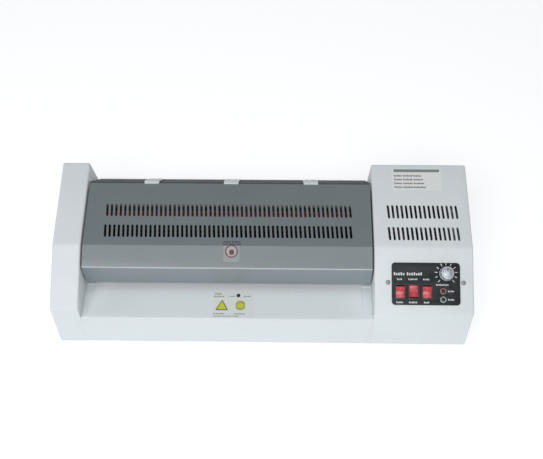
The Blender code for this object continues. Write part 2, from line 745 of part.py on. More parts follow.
def temperature_control(control_face):
    """A fluted knob and its shaft, in the bush of a potentiometer behind the panel."""
    flutes, low, height = 18, PANEL_TOP + 0.0025, 0.0105
    outline = []
    for i in range(2 * flutes):
        angle, radius = math.pi * i / flutes, (0.0085, 0.0078)[i % 2]
        outline.append((radius * math.cos(angle), radius * math.sin(angle)))
    middle = low + height / 2
    knob = flat("temperature_knob", [outline], height, silver, control_face, (*KNOB, middle), UPRIGHT)
    shaft_low = -0.009
    length = low - shaft_low + 0.002
    centre = (*KNOB, shaft_low + length / 2)
    join(knob, cylinder("knob_shaft", centre, 0.003, length, None, control_face, "Z"))
    x, y, top = *KNOB, low + height
    pointer = ((x - 0.0006, y + 0.002, top - 0.0008), (x + 0.0006, y + 0.010, top + 0.001))
    cut(knob, boxes("knob_pointer", [pointer], None, control_face))
    bush_top, under, bottom = PANEL_TOP + 0.0008, -COVER_SHEET - GAP, -0.012
    profile = (
        (0, -0.0102), (0.0034, -0.0102), (0.0034, bush_top), (0.0046, bush_top),
        (0.0046, under), (0.008, under), (0.008, bottom), (0, bottom),
    )
    turned("potentiometer", profile, steel, control_face, (*KNOB, 0), UPRIGHT)


def lamps(control_face):
    rim = PANEL_TOP + RUNNING_GAP
    profile = (
        (0, rim + 0.0026), (0.0012, rim + 0.0023), (0.0022, rim + 0.0012), (0.0034, rim + 0.0012),
        (0.00375, rim + 0.0006), (0.00375, rim), (0.0030, rim), (0.0030, -0.009), (0, -0.009),
    )
    for (name, spot), paint in zip(LAMPS, (red, green)):
        turned(name, profile, paint, control_face, (*spot, 0), UPRIGHT, steps=16)


def circuit_board(body):
    """The control board on four posts, with its transformer, relay and capacitor."""
    level, thickness = 0.010, 0.0016
    top = level + thickness
    board = boxes("circuit_board", [((0.150, 0.014, level), (0.232, 0.064, top))], pcb, body)
    loaded = [
        ((0.156, 0.024, top - 0.0005), (0.184, 0.050, top + 0.022)),
        ((0.192, 0.020, top - 0.0005), (0.207, 0.032, top + 0.014)),
        ((0.212, 0.044, top - 0.0005), (0.228, 0.060, top + 0.009)),
    ]
    posts = [
        ((x, y, PAN_TOP + GAP), (x + 0.006, y + 0.006, level + 0.0005))
        for x in (0.152, 0.224) for y in (0.016, 0.056)
    ]
    join(board, boxes("board_parts", loaded, None, body), boxes("board_posts", posts, None, body))
    can = cylinder("board_capacitor", (0.200, 0.048, top + 0.008), 0.005, 0.017, None, body, "Z")
    join(board, can)


def power_inlet(back_face):
    """A three-pin appliance inlet in the back of the right cover."""
    x, y = -INLET[0], INLET[1]
    rim = [((x - 0.0145, y - 0.012, RUNNING_GAP), (x + 0.0145, y + 0.012, 0.0024))]
    inlet = boxes("power_inlet", rim, black, back_face)
    below = [((x - 0.0112, y - 0.0087, -0.019), (x + 0.0112, y + 0.0087, 0.0020))]
    join(inlet, boxes("inlet_body", below, None, back_face))
    hollow = [((x - 0.0092, y - 0.0067, -0.016), (x + 0.0092, y + 0.0067, 0.005))]
    cut(inlet, boxes("inlet_hollow", hollow, None, back_face))
    pins = [
        ((x + i - 0.0010, y + j - 0.0020, -0.0165), (x + i + 0.0010, y + j + 0.0020, -0.007))
        for i, j in ((-0.005, -0.001), (0.0, 0.002), (0.005, -0.001))
    ]
    join(inlet, boxes("inlet_pins", pins, None, back_face))


def slope(start, end):
    return math.atan2(end[1] - start[1], end[0] - start[0])


def main():
    body = empty("body", (0, -DEPTH / 2, FOOT_HEIGHT), UPRIGHT)
    control_face = empty("control_face", (0, *FRONT_EDGE), (slope(FRONT_EDGE, CREASE), 0, 0), body)
    top_face = empty("top_face", (0, *CREASE), (slope(CREASE, REAR_BEND), 0, 0), body)
    grey_turn = (slope(GREY_CREASE, GREY_REAR_BEND), 0, 0)
    grey_face = empty("grey_face", (0, *GREY_CREASE), grey_turn, body)
    table_turn = (slope(TABLE_PATH[1], TABLE_PATH[2]), 0, 0)
    table_face = empty("table_face", (0, *TABLE_PATH[1]), table_turn, body)
    back_turn = (math.pi - slope(REAR_FOOT, REAR_BEND), 0, math.pi)
    back_face = empty("back_face", (0, *REAR_FOOT), back_turn, body)
    base_pan(body)
    feet(body)
    end_cover("left_end_cover", -WIDTH / 2, LEFT_WALL, body)
    right_cover(body, control_face, top_face, back_face)
    top_cover(body, grey_face)
    cover_clips(body)
    feed_table(body, table_face)
    rear_panel(body)
    side_plates(body)
    tie_bar(body)
    for name, y, z in (
        ("lower_front_roller", FRONT_ROLLERS, LOWER_ROLLERS),
        ("lower_rear_roller", REAR_ROLLERS, LOWER_ROLLERS),
        ("upper_front_roller", FRONT_ROLLERS, UPPER_ROLLERS),
        ("upper_rear_roller", REAR_ROLLERS, UPPER_ROLLERS),
    ):
        roller(name, y, z, body)
    bushes("lower_front", FRONT_ROLLERS, body)
    bushes("lower_rear", REAR_ROLLERS, body)
    blocks_and_springs(body)
    gear_train(body)
    gear_motor(body)
    heater_plates(body)
    cooling_fan(top_face)
    control_panel(control_face)
    rocker_switches(control_face)
    temperature_control(control_face)
    lamps(control_face)
    circuit_board(body)
    power_inlet(back_face)


clear_scene()
parts = collection("pouch_laminator", True)
cutters = collection("cutters", False)
white = material("white_paint", (0.78, 0.80, 0.81), 0.45)
grey = material("grey_paint", (0.23, 0.26, 0.28), 0.45)
steel = material("steel", (0.55, 0.56, 0.57), 0.35, 1.0)
anodised = material("dark_anodised", (0.09, 0.09, 0.10), 0.45, 1.0)
bronze = material("bronze", (0.55, 0.38, 0.18), 0.4, 1.0)
silicone = material("red_silicone", (0.45, 0.06, 0.04), 0.6)
nylon = material("nylon", (0.75, 0.73, 0.66), 0.5)
black = material("black_plastic", (0.03, 0.035, 0.045), 0.5)
red = material("red_plastic", (0.75, 0.06, 0.10), 0.25)
green = material("green_plastic", (0.35, 0.55, 0.40), 0.25)
silver = material("silver_plastic", (0.60, 0.63, 0.66), 0.35)
rubber = material("rubber", (0.02, 0.02, 0.02), 0.85)
pcb = material("board", (0.03, 0.18, 0.08), 0.5)
main()
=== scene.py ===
"""Looks of the pouch laminator: camera and light, finishes, and the fine surface of each piece.

Metres, +Z up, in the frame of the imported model. The pieces are made under the empty "body",
at the front lower edge of the metalwork, so positions read as X, depth behind the front
face, and height above the underside of the metalwork.
"""

import json
import math

import bmesh
import bpy
from mathutils import Matrix, Vector

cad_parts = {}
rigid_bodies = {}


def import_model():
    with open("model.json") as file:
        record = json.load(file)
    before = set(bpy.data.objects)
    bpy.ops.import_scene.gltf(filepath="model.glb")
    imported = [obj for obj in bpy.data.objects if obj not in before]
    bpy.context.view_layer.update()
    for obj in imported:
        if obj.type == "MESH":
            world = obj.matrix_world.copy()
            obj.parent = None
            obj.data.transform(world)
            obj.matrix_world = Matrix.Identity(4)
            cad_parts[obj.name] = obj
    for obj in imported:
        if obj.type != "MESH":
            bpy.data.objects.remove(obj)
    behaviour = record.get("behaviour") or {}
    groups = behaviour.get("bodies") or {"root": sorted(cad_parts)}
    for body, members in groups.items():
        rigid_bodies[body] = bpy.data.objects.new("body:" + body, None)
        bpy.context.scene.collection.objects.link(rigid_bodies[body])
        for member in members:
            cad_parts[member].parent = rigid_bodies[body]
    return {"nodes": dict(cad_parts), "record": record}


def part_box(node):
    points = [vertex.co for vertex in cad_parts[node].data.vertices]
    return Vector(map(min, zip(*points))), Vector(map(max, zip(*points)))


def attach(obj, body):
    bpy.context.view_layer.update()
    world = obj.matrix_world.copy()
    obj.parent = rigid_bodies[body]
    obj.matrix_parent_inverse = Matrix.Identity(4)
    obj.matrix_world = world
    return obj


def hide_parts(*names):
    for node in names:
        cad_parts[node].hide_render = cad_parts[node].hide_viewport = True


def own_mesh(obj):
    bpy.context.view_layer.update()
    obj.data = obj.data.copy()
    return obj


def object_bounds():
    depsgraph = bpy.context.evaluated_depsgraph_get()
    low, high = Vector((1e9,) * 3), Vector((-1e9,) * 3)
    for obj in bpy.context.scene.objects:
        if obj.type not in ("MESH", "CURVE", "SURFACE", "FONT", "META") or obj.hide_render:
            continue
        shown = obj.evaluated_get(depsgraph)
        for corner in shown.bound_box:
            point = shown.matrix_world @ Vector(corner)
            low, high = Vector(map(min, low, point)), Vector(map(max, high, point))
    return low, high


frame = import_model()
CAD_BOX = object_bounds()

# Whole machine
GAP = 0.0004
TABLE_GAP = 0.0001
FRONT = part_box("feed_table")[0].y
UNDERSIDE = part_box("feed_table")[0].z - GAP
LEFT_SIDE, RIGHT_SIDE = CAD_BOX[0].x, CAD_BOX[1].x
LEFT_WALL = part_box("left_end_cover")[1].x
RIGHT_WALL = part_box("right_end_cover")[0].x
MIDDLE = (LEFT_WALL + RIGHT_WALL) / 2

# Side outlines, as (depth, height)
FRONT_EDGE = (0.0, 0.075)
CREASE = (0.071, 0.109)
REAR_BEND = (0.1875, 0.118)
REAR_FOOT = (0.226, 0.0)
LIP_END = (0.0491, 0.0582)
LIP_BEND = (0.047, 0.0955)
GREY_CREASE = (0.072, 0.107)
GREY_REAR_BEND = (0.161, 0.1135)
GREY_END = (0.2078, 0.058)
TABLE_PATH = ((0.0, GAP), (0.0, 0.056), (0.052, 0.0465), (0.066, 0.046))
REAR_PATH = ((0.2243, 0.0015), (0.2118, 0.038), (0.175, 0.044))
COVER_SHEET = 0.0015
GREY_SHEET = 0.0012
GREY_SIDE_GAP = 0.002
LIP_TAB_WIDTH = 0.011
LIP_HEIGHT = 0.060
LIP_NOTCH = 0.0026
TABLE_SHEET = 0.002
POCKET_WIDTH = 0.0115
POCKET_DEPTH = 0.0012
PAN_HEIGHT = 0.001
PAN_SHEET = 0.0012
PAN_TOP = PAN_HEIGHT + PAN_SHEET

# Vent slots: first slot, pitch, count, and the depths of the two rows
SLOT_WIDTH = 0.0028
SLOT_SLANT = math.radians(3.5)
GREY_SLOTS = (-0.1885, 0.00546, 55)
GREY_ROWS = ((0.083, 0.1005), (0.112, 0.1295))
WHITE_SLOTS = (0.1522, 0.00544, 16)
WHITE_ROWS = ((0.080, 0.0985), (0.110, 0.129))

# Rollers and their frame
ROLLERS = {"front": 0.085, "rear": 0.139}
LOWER_ROLLERS, FILM, UPPER_ROLLERS = 0.0325, 0.046, 0.0595
IDLER = (0.112, LOWER_ROLLERS)
PINION = (0.1615, LOWER_ROLLERS)
PLATES = {"left": -0.21125, "right": 0.12875}
PLATE = 0.0015
WINDOW_LOW, WINDOW_HIGH = 0.051, 0.092
TIE_BAR = (0.112, 0.084)
JOURNAL = 0.004
MODULE = 0.0015
ROLLER_TEETH, PINION_TEETH = 18, 12
GEAR_PLANE = 0.1405
GEAR_WIDTH = 0.008

# Control panel, on the sloping face from FRONT_EDGE up to CREASE
PANEL_CENTRE = (0.1935, 0.035)
PANEL_SIZE = (0.080, 0.050)
PANEL_LOW, PANEL_TOP = 0.0003, 0.0015
SWITCH_LINE = 0.0255
SWITCHES = (("power", 0.1633, 1), ("direction", 0.1790, -1), ("mode", 0.1947, 1))
SWITCH_TILT = math.radians(11)
KNOB = (0.2172, 0.0469)
KNOB_HOLE = 0.0051
LAMPS = {"power_lamp": (0.2135, 0.0264), "ready_lamp": (0.2135, 0.0166)}
LAMP_HOLE = 0.0034
INK = 0.00012  # from one layer of print up to the next
INLET = (0.205, 0.030)
FAN = (0.193, 0.033)

# Light. A soft box is its name, place, size and power
WORLD_POWER = 0.12
SOFT_BOXES = (
    ("front_box", (-0.2, -1.2, 1.7), (1.8, 0.9), 26),
    ("overhead_box", (0.0, -0.2, 2.0), (2.0, 0.9), 7),
    ("left_box", (-1.8, -0.3, 0.7), (1.0, 1.0), 5),
    ("right_box", (1.8, -0.3, 0.7), (1.0, 1.0), 1.5),
    ("rear_box", (0.3, 1.9, 0.6), (1.6, 0.6), 3),
)
FLOOR_REACH = 60
FLOOR_GLOW = 0.6

SIDEWAYS = (math.pi / 2, 0, math.pi / 2)  # local x, y, z run along Y, Z, X
SIDEWAYS_BACK = (math.pi / 2, 0, -math.pi / 2)  # local z runs along -X
UPRIGHT = (0, 0, 0)


# ---------------------------------------------------------------- camera and light


def camera():
    """Looks down at the machine from in front."""
    data = bpy.data.cameras.new("camera")
    data.sensor_width = 36
    data.lens = 66.4
    data.shift_x = 0.0224
    data.shift_y = 0.0152
    data.clip_start = 0.05
    made = linked(bpy.data.objects.new("camera", data))
    made.location = (0.0266, -0.6961, 1.1071)
    made.rotation_euler = [math.radians(a) for a in (33.897, 0.915, 1.173)]
    bpy.context.scene.camera = made


def soft_box(name, location, size, power):
    """A rectangular light that faces the machine."""
    data = bpy.data.lights.new(name, "AREA")
    data.shape = "RECTANGLE"
    data.size, data.size_y = size
    data.energy = power
    made = linked(bpy.data.objects.new(name, data))
    made.location = location
    made.rotation_euler = (-Vector(location)).to_track_quat("-Z", "Y").to_euler()


def studio():
    """A pale world, five soft boxes and a wide floor."""
    world = bpy.data.worlds.new("studio")
    world.use_nodes = True
    sky = world.node_tree.nodes["Background"].inputs
    sky["Color"].default_value = (0.94, 0.97, 1.0, 1)
    sky["Strength"].default_value = WORLD_POWER
    bpy.context.scene.world = world
    bpy.context.scene.view_settings.view_transform = "Standard"
    for light in SOFT_BOXES:
        soft_box(*light)
    form = bmesh.new()
    bmesh.ops.create_grid(form, x_segments=1, y_segments=1, size=FLOOR_REACH)
    place("floor", mesh_of(form, "floor"), studio_floor(), None)


# ---------------------------------------------------------------- finishes


class Finish:
    """A Principled material with helpers for its procedural detail, in metres of the piece."""

    def __init__(self, name, colour, roughness, metallic=0.0, **inputs):
        self.material = bpy.data.materials.new(name)
        self.material.use_nodes = True
        self.tree = self.material.node_tree
        self.shader = self.tree.nodes["Principled BSDF"]
        self.place = self.tree.nodes.new("ShaderNodeTexCoord").outputs["Object"]
        self.height = None
        self.colour = self.value((*colour, 1), "ShaderNodeRGB")
        self.rough = self.value(roughness, "ShaderNodeValue")
        self.shader.inputs["Metallic"].default_value = metallic
        for label, amount in inputs.items():
            self.shader.inputs[label.replace("_", " ")].default_value = amount

    def value(self, amount, kind):
        node = self.tree.nodes.new(kind)
        node.outputs[0].default_value = amount
        return node.outputs[0]

    def stretched(self, scale):
        node = self.tree.nodes.new("ShaderNodeMapping")
        node.inputs["Scale"].default_value = scale
        self.tree.links.new(self.place, node.inputs["Vector"])
        return node.outputs["Vector"]

    def noise(self, size, detail=3.0, stretch=(1, 1, 1)):
        """Noise with features about this many metres across."""
        node = self.tree.nodes.new("ShaderNodeTexNoise")
        node.inputs["Scale"].default_value = 1 / size
        node.inputs["Detail"].default_value = detail
        self.tree.links.new(self.stretched(stretch), node.inputs["Vector"])
        return node.outputs["Fac"]

    def cells(self, size):
        node = self.tree.nodes.new("ShaderNodeTexVoronoi")
        node.inputs["Scale"].default_value = 1 / size
        self.tree.links.new(self.place, node.inputs["Vector"])
        return node.outputs["Distance"]

    def streaks(self, count):
        """Noise that runs out from local z, as on a disc finished on a lathe."""
        angle = self.tree.nodes.new("ShaderNodeTexGradient")
        angle.gradient_type = "RADIAL"
        self.tree.links.new(self.place, angle.inputs["Vector"])
        node = self.tree.nodes.new("ShaderNodeTexNoise")
        node.noise_dimensions = "1D"
        node.inputs["Scale"].default_value = count
        node.inputs["Detail"].default_value = 1
        self.tree.links.new(angle.outputs["Fac"], node.inputs["W"])
        return node.outputs["Fac"]

    def remap(self, source, low, high, new_low, new_high):
        node = self.tree.nodes.new("ShaderNodeMapRange")
        values = (low, high, new_low, new_high)
        for label, amount in zip(("From Min", "From Max", "To Min", "To Max"), values):
            node.inputs[label].default_value = amount
        self.tree.links.new(source, node.inputs["Value"])
        return node.outputs["Result"]

    def tint(self, factor, colour, blend="MIX"):
        """Mixes another colour in where the factor is high."""
        node = self.tree.nodes.new("ShaderNodeMix")
        node.data_type = "RGBA"
        node.blend_type = blend
        self.tree.links.new(factor, node.inputs["Factor"])
        self.tree.links.new(self.colour, node.inputs[6])
        node.inputs[7].default_value = (*colour, 1)
        self.colour = node.outputs[2]

    def roughen(self, factor, amount):
        """Adds up to this much roughness where the factor is high."""
        node = self.tree.nodes.new("ShaderNodeMath")
        node.operation = "MULTIPLY_ADD"
        self.tree.links.new(factor, node.inputs[0])
        node.inputs[1].default_value = amount
        self.tree.links.new(self.rough, node.inputs[2])
        self.rough = node.outputs[0]

    def relief(self, height, depth, strength=1.0):
        """Bump of this depth in metres, on top of any bump that is there."""
        node = self.tree.nodes.new("ShaderNodeBump")
        node.inputs["Distance"].default_value = depth
        node.inputs["Strength"].default_value = strength
        self.tree.links.new(height, node.inputs["Height"])
        if self.height:
            self.tree.links.new(self.height, node.inputs["Normal"])
        self.height = node.outputs["Normal"]

    def done(self):
        self.tree.links.new(self.colour, self.shader.inputs["Base Color"])
        self.tree.links.new(self.rough, self.shader.inputs["Roughness"])
        if self.height:
            self.tree.links.new(self.height, self.shader.inputs["Normal"])
        return self.material


def studio_floor():
    """A pale sweep, lit a little from within, as on a light table."""
    made = Finish("studio_floor", (0.60, 0.61, 0.62), 0.8)
    made.tint(made.remap(made.noise(0.6), 0.3, 0.7, 0, 0.15), (0.57, 0.58, 0.60))
    made.shader.inputs["Emission Color"].default_value = (0.97, 0.98, 1.0, 1)
    made.shader.inputs["Emission Strength"].default_value = FLOOR_GLOW
    return made.done()


def powder_coat(name, colour, shade, speck, roughness, **inputs):
    """Stoved powder paint: orange-peel relief, slight patches of shade, and fine specks."""
    made = Finish(name, colour, roughness, **inputs)
    made.tint(made.remap(made.noise(0.09, 4), 0.35, 0.70, 0, 0.35), shade)
    made.tint(made.remap(made.noise(0.0007, 2), 0.60, 0.72, 0, 0.25), speck)
    made.roughen(made.remap(made.noise(0.03, 4), 0.3, 0.7, 0, 1), 0.10)
    made.relief(made.noise(0.0016, 2), 0.00012, 0.35)
    made.relief(made.noise(0.0004, 1), 0.00003, 0.3)
    return made.done()


def sheet_steel(name, colour, roughness):
    """Zinc-plated sheet: faint crystals, rolling lines and a few dull patches."""
    made = Finish(name, colour, roughness, 1.0)
    made.tint(made.remap(made.cells(0.006), 0.0, 0.6, 0, 0.35), (0.42, 0.43, 0.45))
    made.tint(made.remap(made.noise(0.05, 4), 0.45, 0.7, 0, 0.4), (0.36, 0.36, 0.36))
    made.roughen(made.remap(made.noise(0.01, 4), 0.3, 0.7, 0, 1), 0.22)
    made.relief(made.noise(0.0008, 2, (0.04, 1, 1)), 0.00002, 0.4)
    return made.done()


def ground_steel(name, colour, roughness, along=(1, 1, 0.04)):
    """Turned or ground metal, with fine marks across the stretched direction."""
    made = Finish(name, colour, roughness, 1.0)
    made.tint(made.remap(made.noise(0.02, 4), 0.45, 0.75, 0, 0.4), tuple(0.7 * c for c in colour))
    made.roughen(made.noise(0.0006, 2, along), 0.18)
    made.relief(made.noise(0.0005, 1, along), 0.00001, 0.4)
    return made.done()


def moulded(name, colour, roughness, grain=0.0004, depth=0.00003, **inputs):
    """Moulded plastic with a spark-eroded grain and slight flow marks."""
    made = Finish(name, colour, roughness, **inputs)
    lighter = tuple(min(1.0, c * 1.25 + 0.004) for c in colour)
    made.tint(made.remap(made.noise(0.02, 3), 0.4, 0.7, 0, 0.5), lighter)
    made.roughen(made.remap(made.noise(0.004, 4), 0.3, 0.7, 0, 1), 0.12)
    made.relief(made.noise(grain, 2), depth, 0.5)
    return made.done()


def ground_silicone():
    """Dull silicone, with a faint grain round the roller and dusty streaks."""
    made = Finish("red_silicone", (0.42, 0.045, 0.03), 0.55)
    made.tint(made.remap(made.noise(0.02, 4, (1, 1, 0.2)), 0.45, 0.75, 0, 0.4), (0.50, 0.12, 0.09))
    made.roughen(made.noise(0.004, 3), 0.2)
    made.relief(made.noise(0.0006, 2, (1, 1, 0.3)), 0.00003, 0.4)
    return made.done()


def foot_rubber():
    made = Finish("foot_rubber", (0.02, 0.02, 0.021), 0.75)
    made.tint(made.remap(made.noise(0.003, 4), 0.5, 0.8, 0, 0.5), (0.06, 0.06, 0.058))
    made.relief(made.noise(0.0005, 2), 0.00006, 0.6)
    return made.done()


def circuit_green():
    """Solder mask over copper tracks, which show as slightly paler, raised lines."""
    made = Finish("board", (0.012, 0.11, 0.045), 0.3, Coat_Weight=0.4)
    tracks = made.remap(made.cells(0.004), 0.28, 0.34, 1, 0)
    made.tint(tracks, (0.03, 0.19, 0.08))
    made.relief(tracks, 0.00003, 0.5)
    made.tint(made.remap(made.noise(0.01, 3), 0.5, 0.7, 0, 0.3), (0.008, 0.07, 0.03))
    return made.done()


def lens(name, colour, glow):
    """Clear coloured plastic, a little milky, as on rockers and lamps."""
    made = Finish(name, colour, 0.26, Transmission_Weight=0.15, Coat_Weight=0.3, IOR=1.49)
    made.shader.inputs["Emission Color"].default_value = (*colour, 1)
    made.shader.inputs["Emission Strength"].default_value = glow
    made.tint(made.remap(made.noise(0.003, 2), 0.4, 0.7, 0, 0.35), tuple(0.6 * c for c in colour))
    made.roughen(made.noise(0.002, 3), 0.08)
    made.relief(made.noise(0.0011, 1), 0.00001, 0.15)
    return made.done()


def spun(name, colour, roughness):
    """A metallic disc with a lathe's finish about its own axis."""
    made = Finish(name, colour, roughness, 0.85)
    made.tint(made.remap(made.streaks(40), 0.35, 0.65, 0, 0.75), tuple(0.42 * c for c in colour))
    made.roughen(made.streaks(90), 0.2)
    made.relief(made.streaks(140), 0.00002, 0.5)
    return made.done()


def printed(name, colour, roughness=0.5):
    """Screen-printed ink or a printed film, with slight unevenness."""
    made = Finish(name, colour, roughness)
    made.tint(made.remap(made.noise(0.0015, 3), 0.5, 0.75, 0, 0.35), tuple(0.75 * c for c in colour))
    made.relief(made.noise(0.0003, 1), 0.00001, 0.5)
    return made.done()


# ---------------------------------------------------------------- shapes


def smoothed(mesh, sharp=32):
    """Smooth shading, apart from edges sharper than this many degrees."""
    mesh.shade_smooth()
    mesh.set_sharp_from_angle(angle=math.radians(sharp))
    return mesh


def mesh_of(form, name, sharp=32):
    mesh = bpy.data.meshes.new(name)
    form.to_mesh(mesh)
    form.free()
    return smoothed(mesh, sharp)


def evaluated(obj):
    """A new mesh of what the object's modifiers or its curve make."""
    bpy.context.view_layer.update()
    graph = bpy.context.evaluated_depsgraph_get()
    return bpy.data.meshes.new_from_object(obj.evaluated_get(graph))


def linked(made):
    """Puts a new object in the scene."""
    bpy.context.scene.collection.objects.link(made)
    return made


def merge_flat(form):
    """Merges the faces that lie in one plane."""
    bmesh.ops.dissolve_limit(form, angle_limit=math.radians(1), verts=form.verts, edges=form.edges)


def loft(form, loops):
    """A closed surface through loops of vertices, with a face over each end."""
    for lower, upper in zip(loops, loops[1:]):
        for i in range(len(lower)):
            form.faces.new((lower[i - 1], lower[i], upper[i], upper[i - 1]))
    form.faces.new(loops[-1])
    form.faces.new(loops[0])
    bmesh.ops.recalc_face_normals(form, faces=form.faces)
    return form


def place(name, mesh, paint, parent, location=(0, 0, 0), rotation=UPRIGHT):
    made = linked(bpy.data.objects.new(name, mesh))
    if paint:
        mesh.materials.clear()
        mesh.materials.append(paint)
    made.location = location
    made.rotation_euler = rotation
    made.parent = parent
    return made


def boxes(name, corners, paint, parent):
    form = bmesh.new()
    for low, high in corners:
        low, high = Vector(low), Vector(high)
        size = Matrix.Diagonal((*(high - low), 1))
        bmesh.ops.create_cube(form, size=1, matrix=Matrix.Translation((low + high) / 2) @ size)
    return place(name, mesh_of(form, name), paint, parent)


def around(x, y, half_x, half_y, low, high):
    """The corners of a box about a middle in x and y, between two heights."""
    return (x - half_x, y - half_y, low), (x + half_x, y + half_y, high)


def cylinders(name, spots, paint, parent, along="Z", sides=32):
    """Cylinders given as (centre, radius, length), in one piece."""
    turn = {"Z": Matrix(), "X": Matrix.Rotation(math.pi / 2, 4, "Y")}[along]
    form = bmesh.new()
    for centre, radius, length in spots:
        bmesh.ops.create_cone(
            form,
            cap_ends=True,
            segments=sides,
            radius1=radius,
            radius2=radius,
            depth=length,
            matrix=Matrix.Translation(centre) @ turn,
        )
    return place(name, mesh_of(form, name), paint, parent)


def boolean(obj, other, operation):
    """Applies a Boolean and removes the other object."""
    bpy.context.view_layer.update()
    modifier = obj.modifiers.new(operation.lower(), "BOOLEAN")
    modifier.operation = operation
    modifier.object = other
    settle(obj)
    bpy.data.objects.remove(other)
    return obj


def cut(obj, *others):
    for other in others:
        boolean(obj, other, "DIFFERENCE")
    return obj


def join(obj, *others):
    for other in others:
        boolean(obj, other, "UNION")
    return obj


def settle(obj):
    """Replaces the mesh with the evaluated one and drops the modifiers."""
    mesh = evaluated(obj)
    obj.modifiers.clear()
    obj.data = smoothed(mesh)
    return obj


def bevel(obj, width, segments=4, angle=20):
    modifier = obj.modifiers.new("bevel", "BEVEL")
    modifier.width = width
    modifier.segments = segments
    modifier.limit_method = "ANGLE"
    modifier.angle_limit = math.radians(angle)
    modifier.harden_normals = False
    return obj


def thicken(obj, thickness, offset):
    """Gives a surface its sheet's thickness: offset -1 puts all of it behind the surface."""
    modifier = obj.modifiers.new("thickness", "SOLIDIFY")
    modifier.thickness = thickness
    modifier.offset = offset
    modifier.use_even_offset = True
    return settle(obj)


def ring(centre, radius, sides):
    angles = [2 * math.pi * i / sides for i in range(sides)]
    return [(centre[0] + radius * math.cos(a), centre[1] + radius * math.sin(a)) for a in angles]


def rectangle(centre, width, height):
    x, y = width / 2, height / 2
    return [(centre[0] + i * x, centre[1] + j * y) for i, j in ((-1, -1), (1, -1), (1, 1), (-1, 1))]


def rounded(path, radius, steps=6, closed=False):
    """The path with an arc at each of its inner corners, or at every corner if it is closed.
    The radius is one number, or one for each arc."""
    corners = [Vector(point) for point in path]
    if closed:
        corners = [corners[-1], *corners, corners[0]]
    radii = radius if isinstance(radius, tuple) else (radius,) * (len(corners) - 2)
    arcs = []
    for before, corner, after, radius in zip(corners, corners[1:], corners[2:], radii):
        back = (before - corner).normalized()
        ahead = (after - corner).normalized()
        half = back.angle(ahead) / 2
        centre = corner + (back + ahead).normalized() * radius / math.sin(half)
        start = (corner + back * radius / math.tan(half) - centre).normalized()
        end = (corner + ahead * radius / math.tan(half) - centre).normalized()
        arcs += [centre + radius * start.slerp(end, step / steps) for step in range(steps + 1)]
    return arcs if closed else [corners[0], *arcs, corners[-1]]


def plaque(centre, width, height, radius, steps=6):
    """The outline of a rectangle with round corners."""
    return rounded(rectangle(centre, width, height), radius, steps, closed=True)


def sheet(name, path, ends, thickness, paint, parent, inward=-1, rotation=UPRIGHT):
    """A folded sheet: its outer side follows the (y, z) path and runs in x between the ends."""
    form = bmesh.new()
    points = [form.verts.new((ends[0], y, z)) for y, z in path]
    edges = [form.edges.new(pair) for pair in zip(points, points[1:])]
    swept = bmesh.ops.extrude_edge_only(form, edges=edges)["geom"]
    far = [item for item in swept if isinstance(item, bmesh.types.BMVert)]
    bmesh.ops.translate(form, verts=far, vec=(ends[1] - ends[0], 0, 0))
    made = place(name, mesh_of(form, name), paint, parent, rotation=rotation)
    return thicken(made, thickness, inward)


def flat_mesh(name, outlines, thickness):
    """A flat piece in local x and y: outlines that don't lie in each other are joined shapes,
    and an outline within another is a hole in it."""
    curve = bpy.data.curves.new(name, "CURVE")
    curve.dimensions = "2D"
    curve.fill_mode = "BOTH"
    curve.extrude = thickness / 2
    for outline in outlines:
        spline = curve.splines.new("POLY")
        spline.points.add(len(outline) - 1)
        for point, (x, y) in zip(spline.points, outline):
            point.co = (x, y, 0, 1)
        spline.use_cyclic_u = True
    form = bmesh.new()
    form.from_mesh(mesh_from(curve))
    bmesh.ops.remove_doubles(form, verts=form.verts, dist=1e-6)
    bmesh.ops.recalc_face_normals(form, faces=form.faces)
    return mesh_of(form, name)


def mesh_from(curve):
    """The mesh that a curve draws."""
    drawn = linked(bpy.data.objects.new(curve.name, curve))
    mesh = evaluated(drawn)
    bpy.data.objects.remove(drawn)
    return mesh


def flat(name, outlines, thickness, paint, parent, location, rotation=SIDEWAYS):
    return place(name, flat_mesh(name, outlines, thickness), paint, parent, location, rotation)


def turned(name, profile, paint, parent, location, rotation=SIDEWAYS, closed=False, steps=48):
    """A body turned about local z: (radius, z) points down its outer side."""
    form = bmesh.new()
    points = [form.verts.new((radius, 0, z)) for radius, z in profile]
    pairs = list(zip(points, points[1:]))
    if closed:
        pairs.append((points[-1], points[0]))
    for pair in pairs:
        form.edges.new(pair)
    made = place(name, mesh_of(form, name), paint, parent, location, rotation)
    modifier = made.modifiers.new("turn", "SCREW")
    modifier.steps = steps
    modifier.render_steps = steps
    modifier.use_merge_vertices = True
    modifier.merge_threshold = 0.00002
    return settle(made)


def show(piece, node):
    """Puts a finished piece on the body of its CAD node. A node's first piece replaces it."""
    if piece.modifiers:
        settle(piece)
    bpy.context.view_layer.update()
    world = piece.matrix_world.copy()
    piece.parent = None
    piece.matrix_world = world
    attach(piece, BODY_OF[node])
    if not frame["nodes"][node].hide_render:
        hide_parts(node)
    return piece


# ---------------------------------------------------------------- covers and sheet metal


def add_slot(form, x, near, far):
    """A slot with round ends, as a cutter across the face."""
    radius = SLOT_WIDTH / 2
    turn = Matrix.Translation((x, (near + far) / 2, 0)) @ Matrix.Rotation(SLOT_SLANT, 4, "Z")
    outline = plaque((0, 0), SLOT_WIDTH, far - near, 0.98 * radius, 4)
    low = [form.verts.new(turn @ Vector((*point, -0.005))) for point in outline]
    raised = bmesh.ops.extrude_face_region(form, geom=[form.faces.new(low)])["geom"]
    top = [item for item in raised if isinstance(item, bmesh.types.BMVert)]
    bmesh.ops.translate(form, verts=top, vec=(0, 0, 0.010))


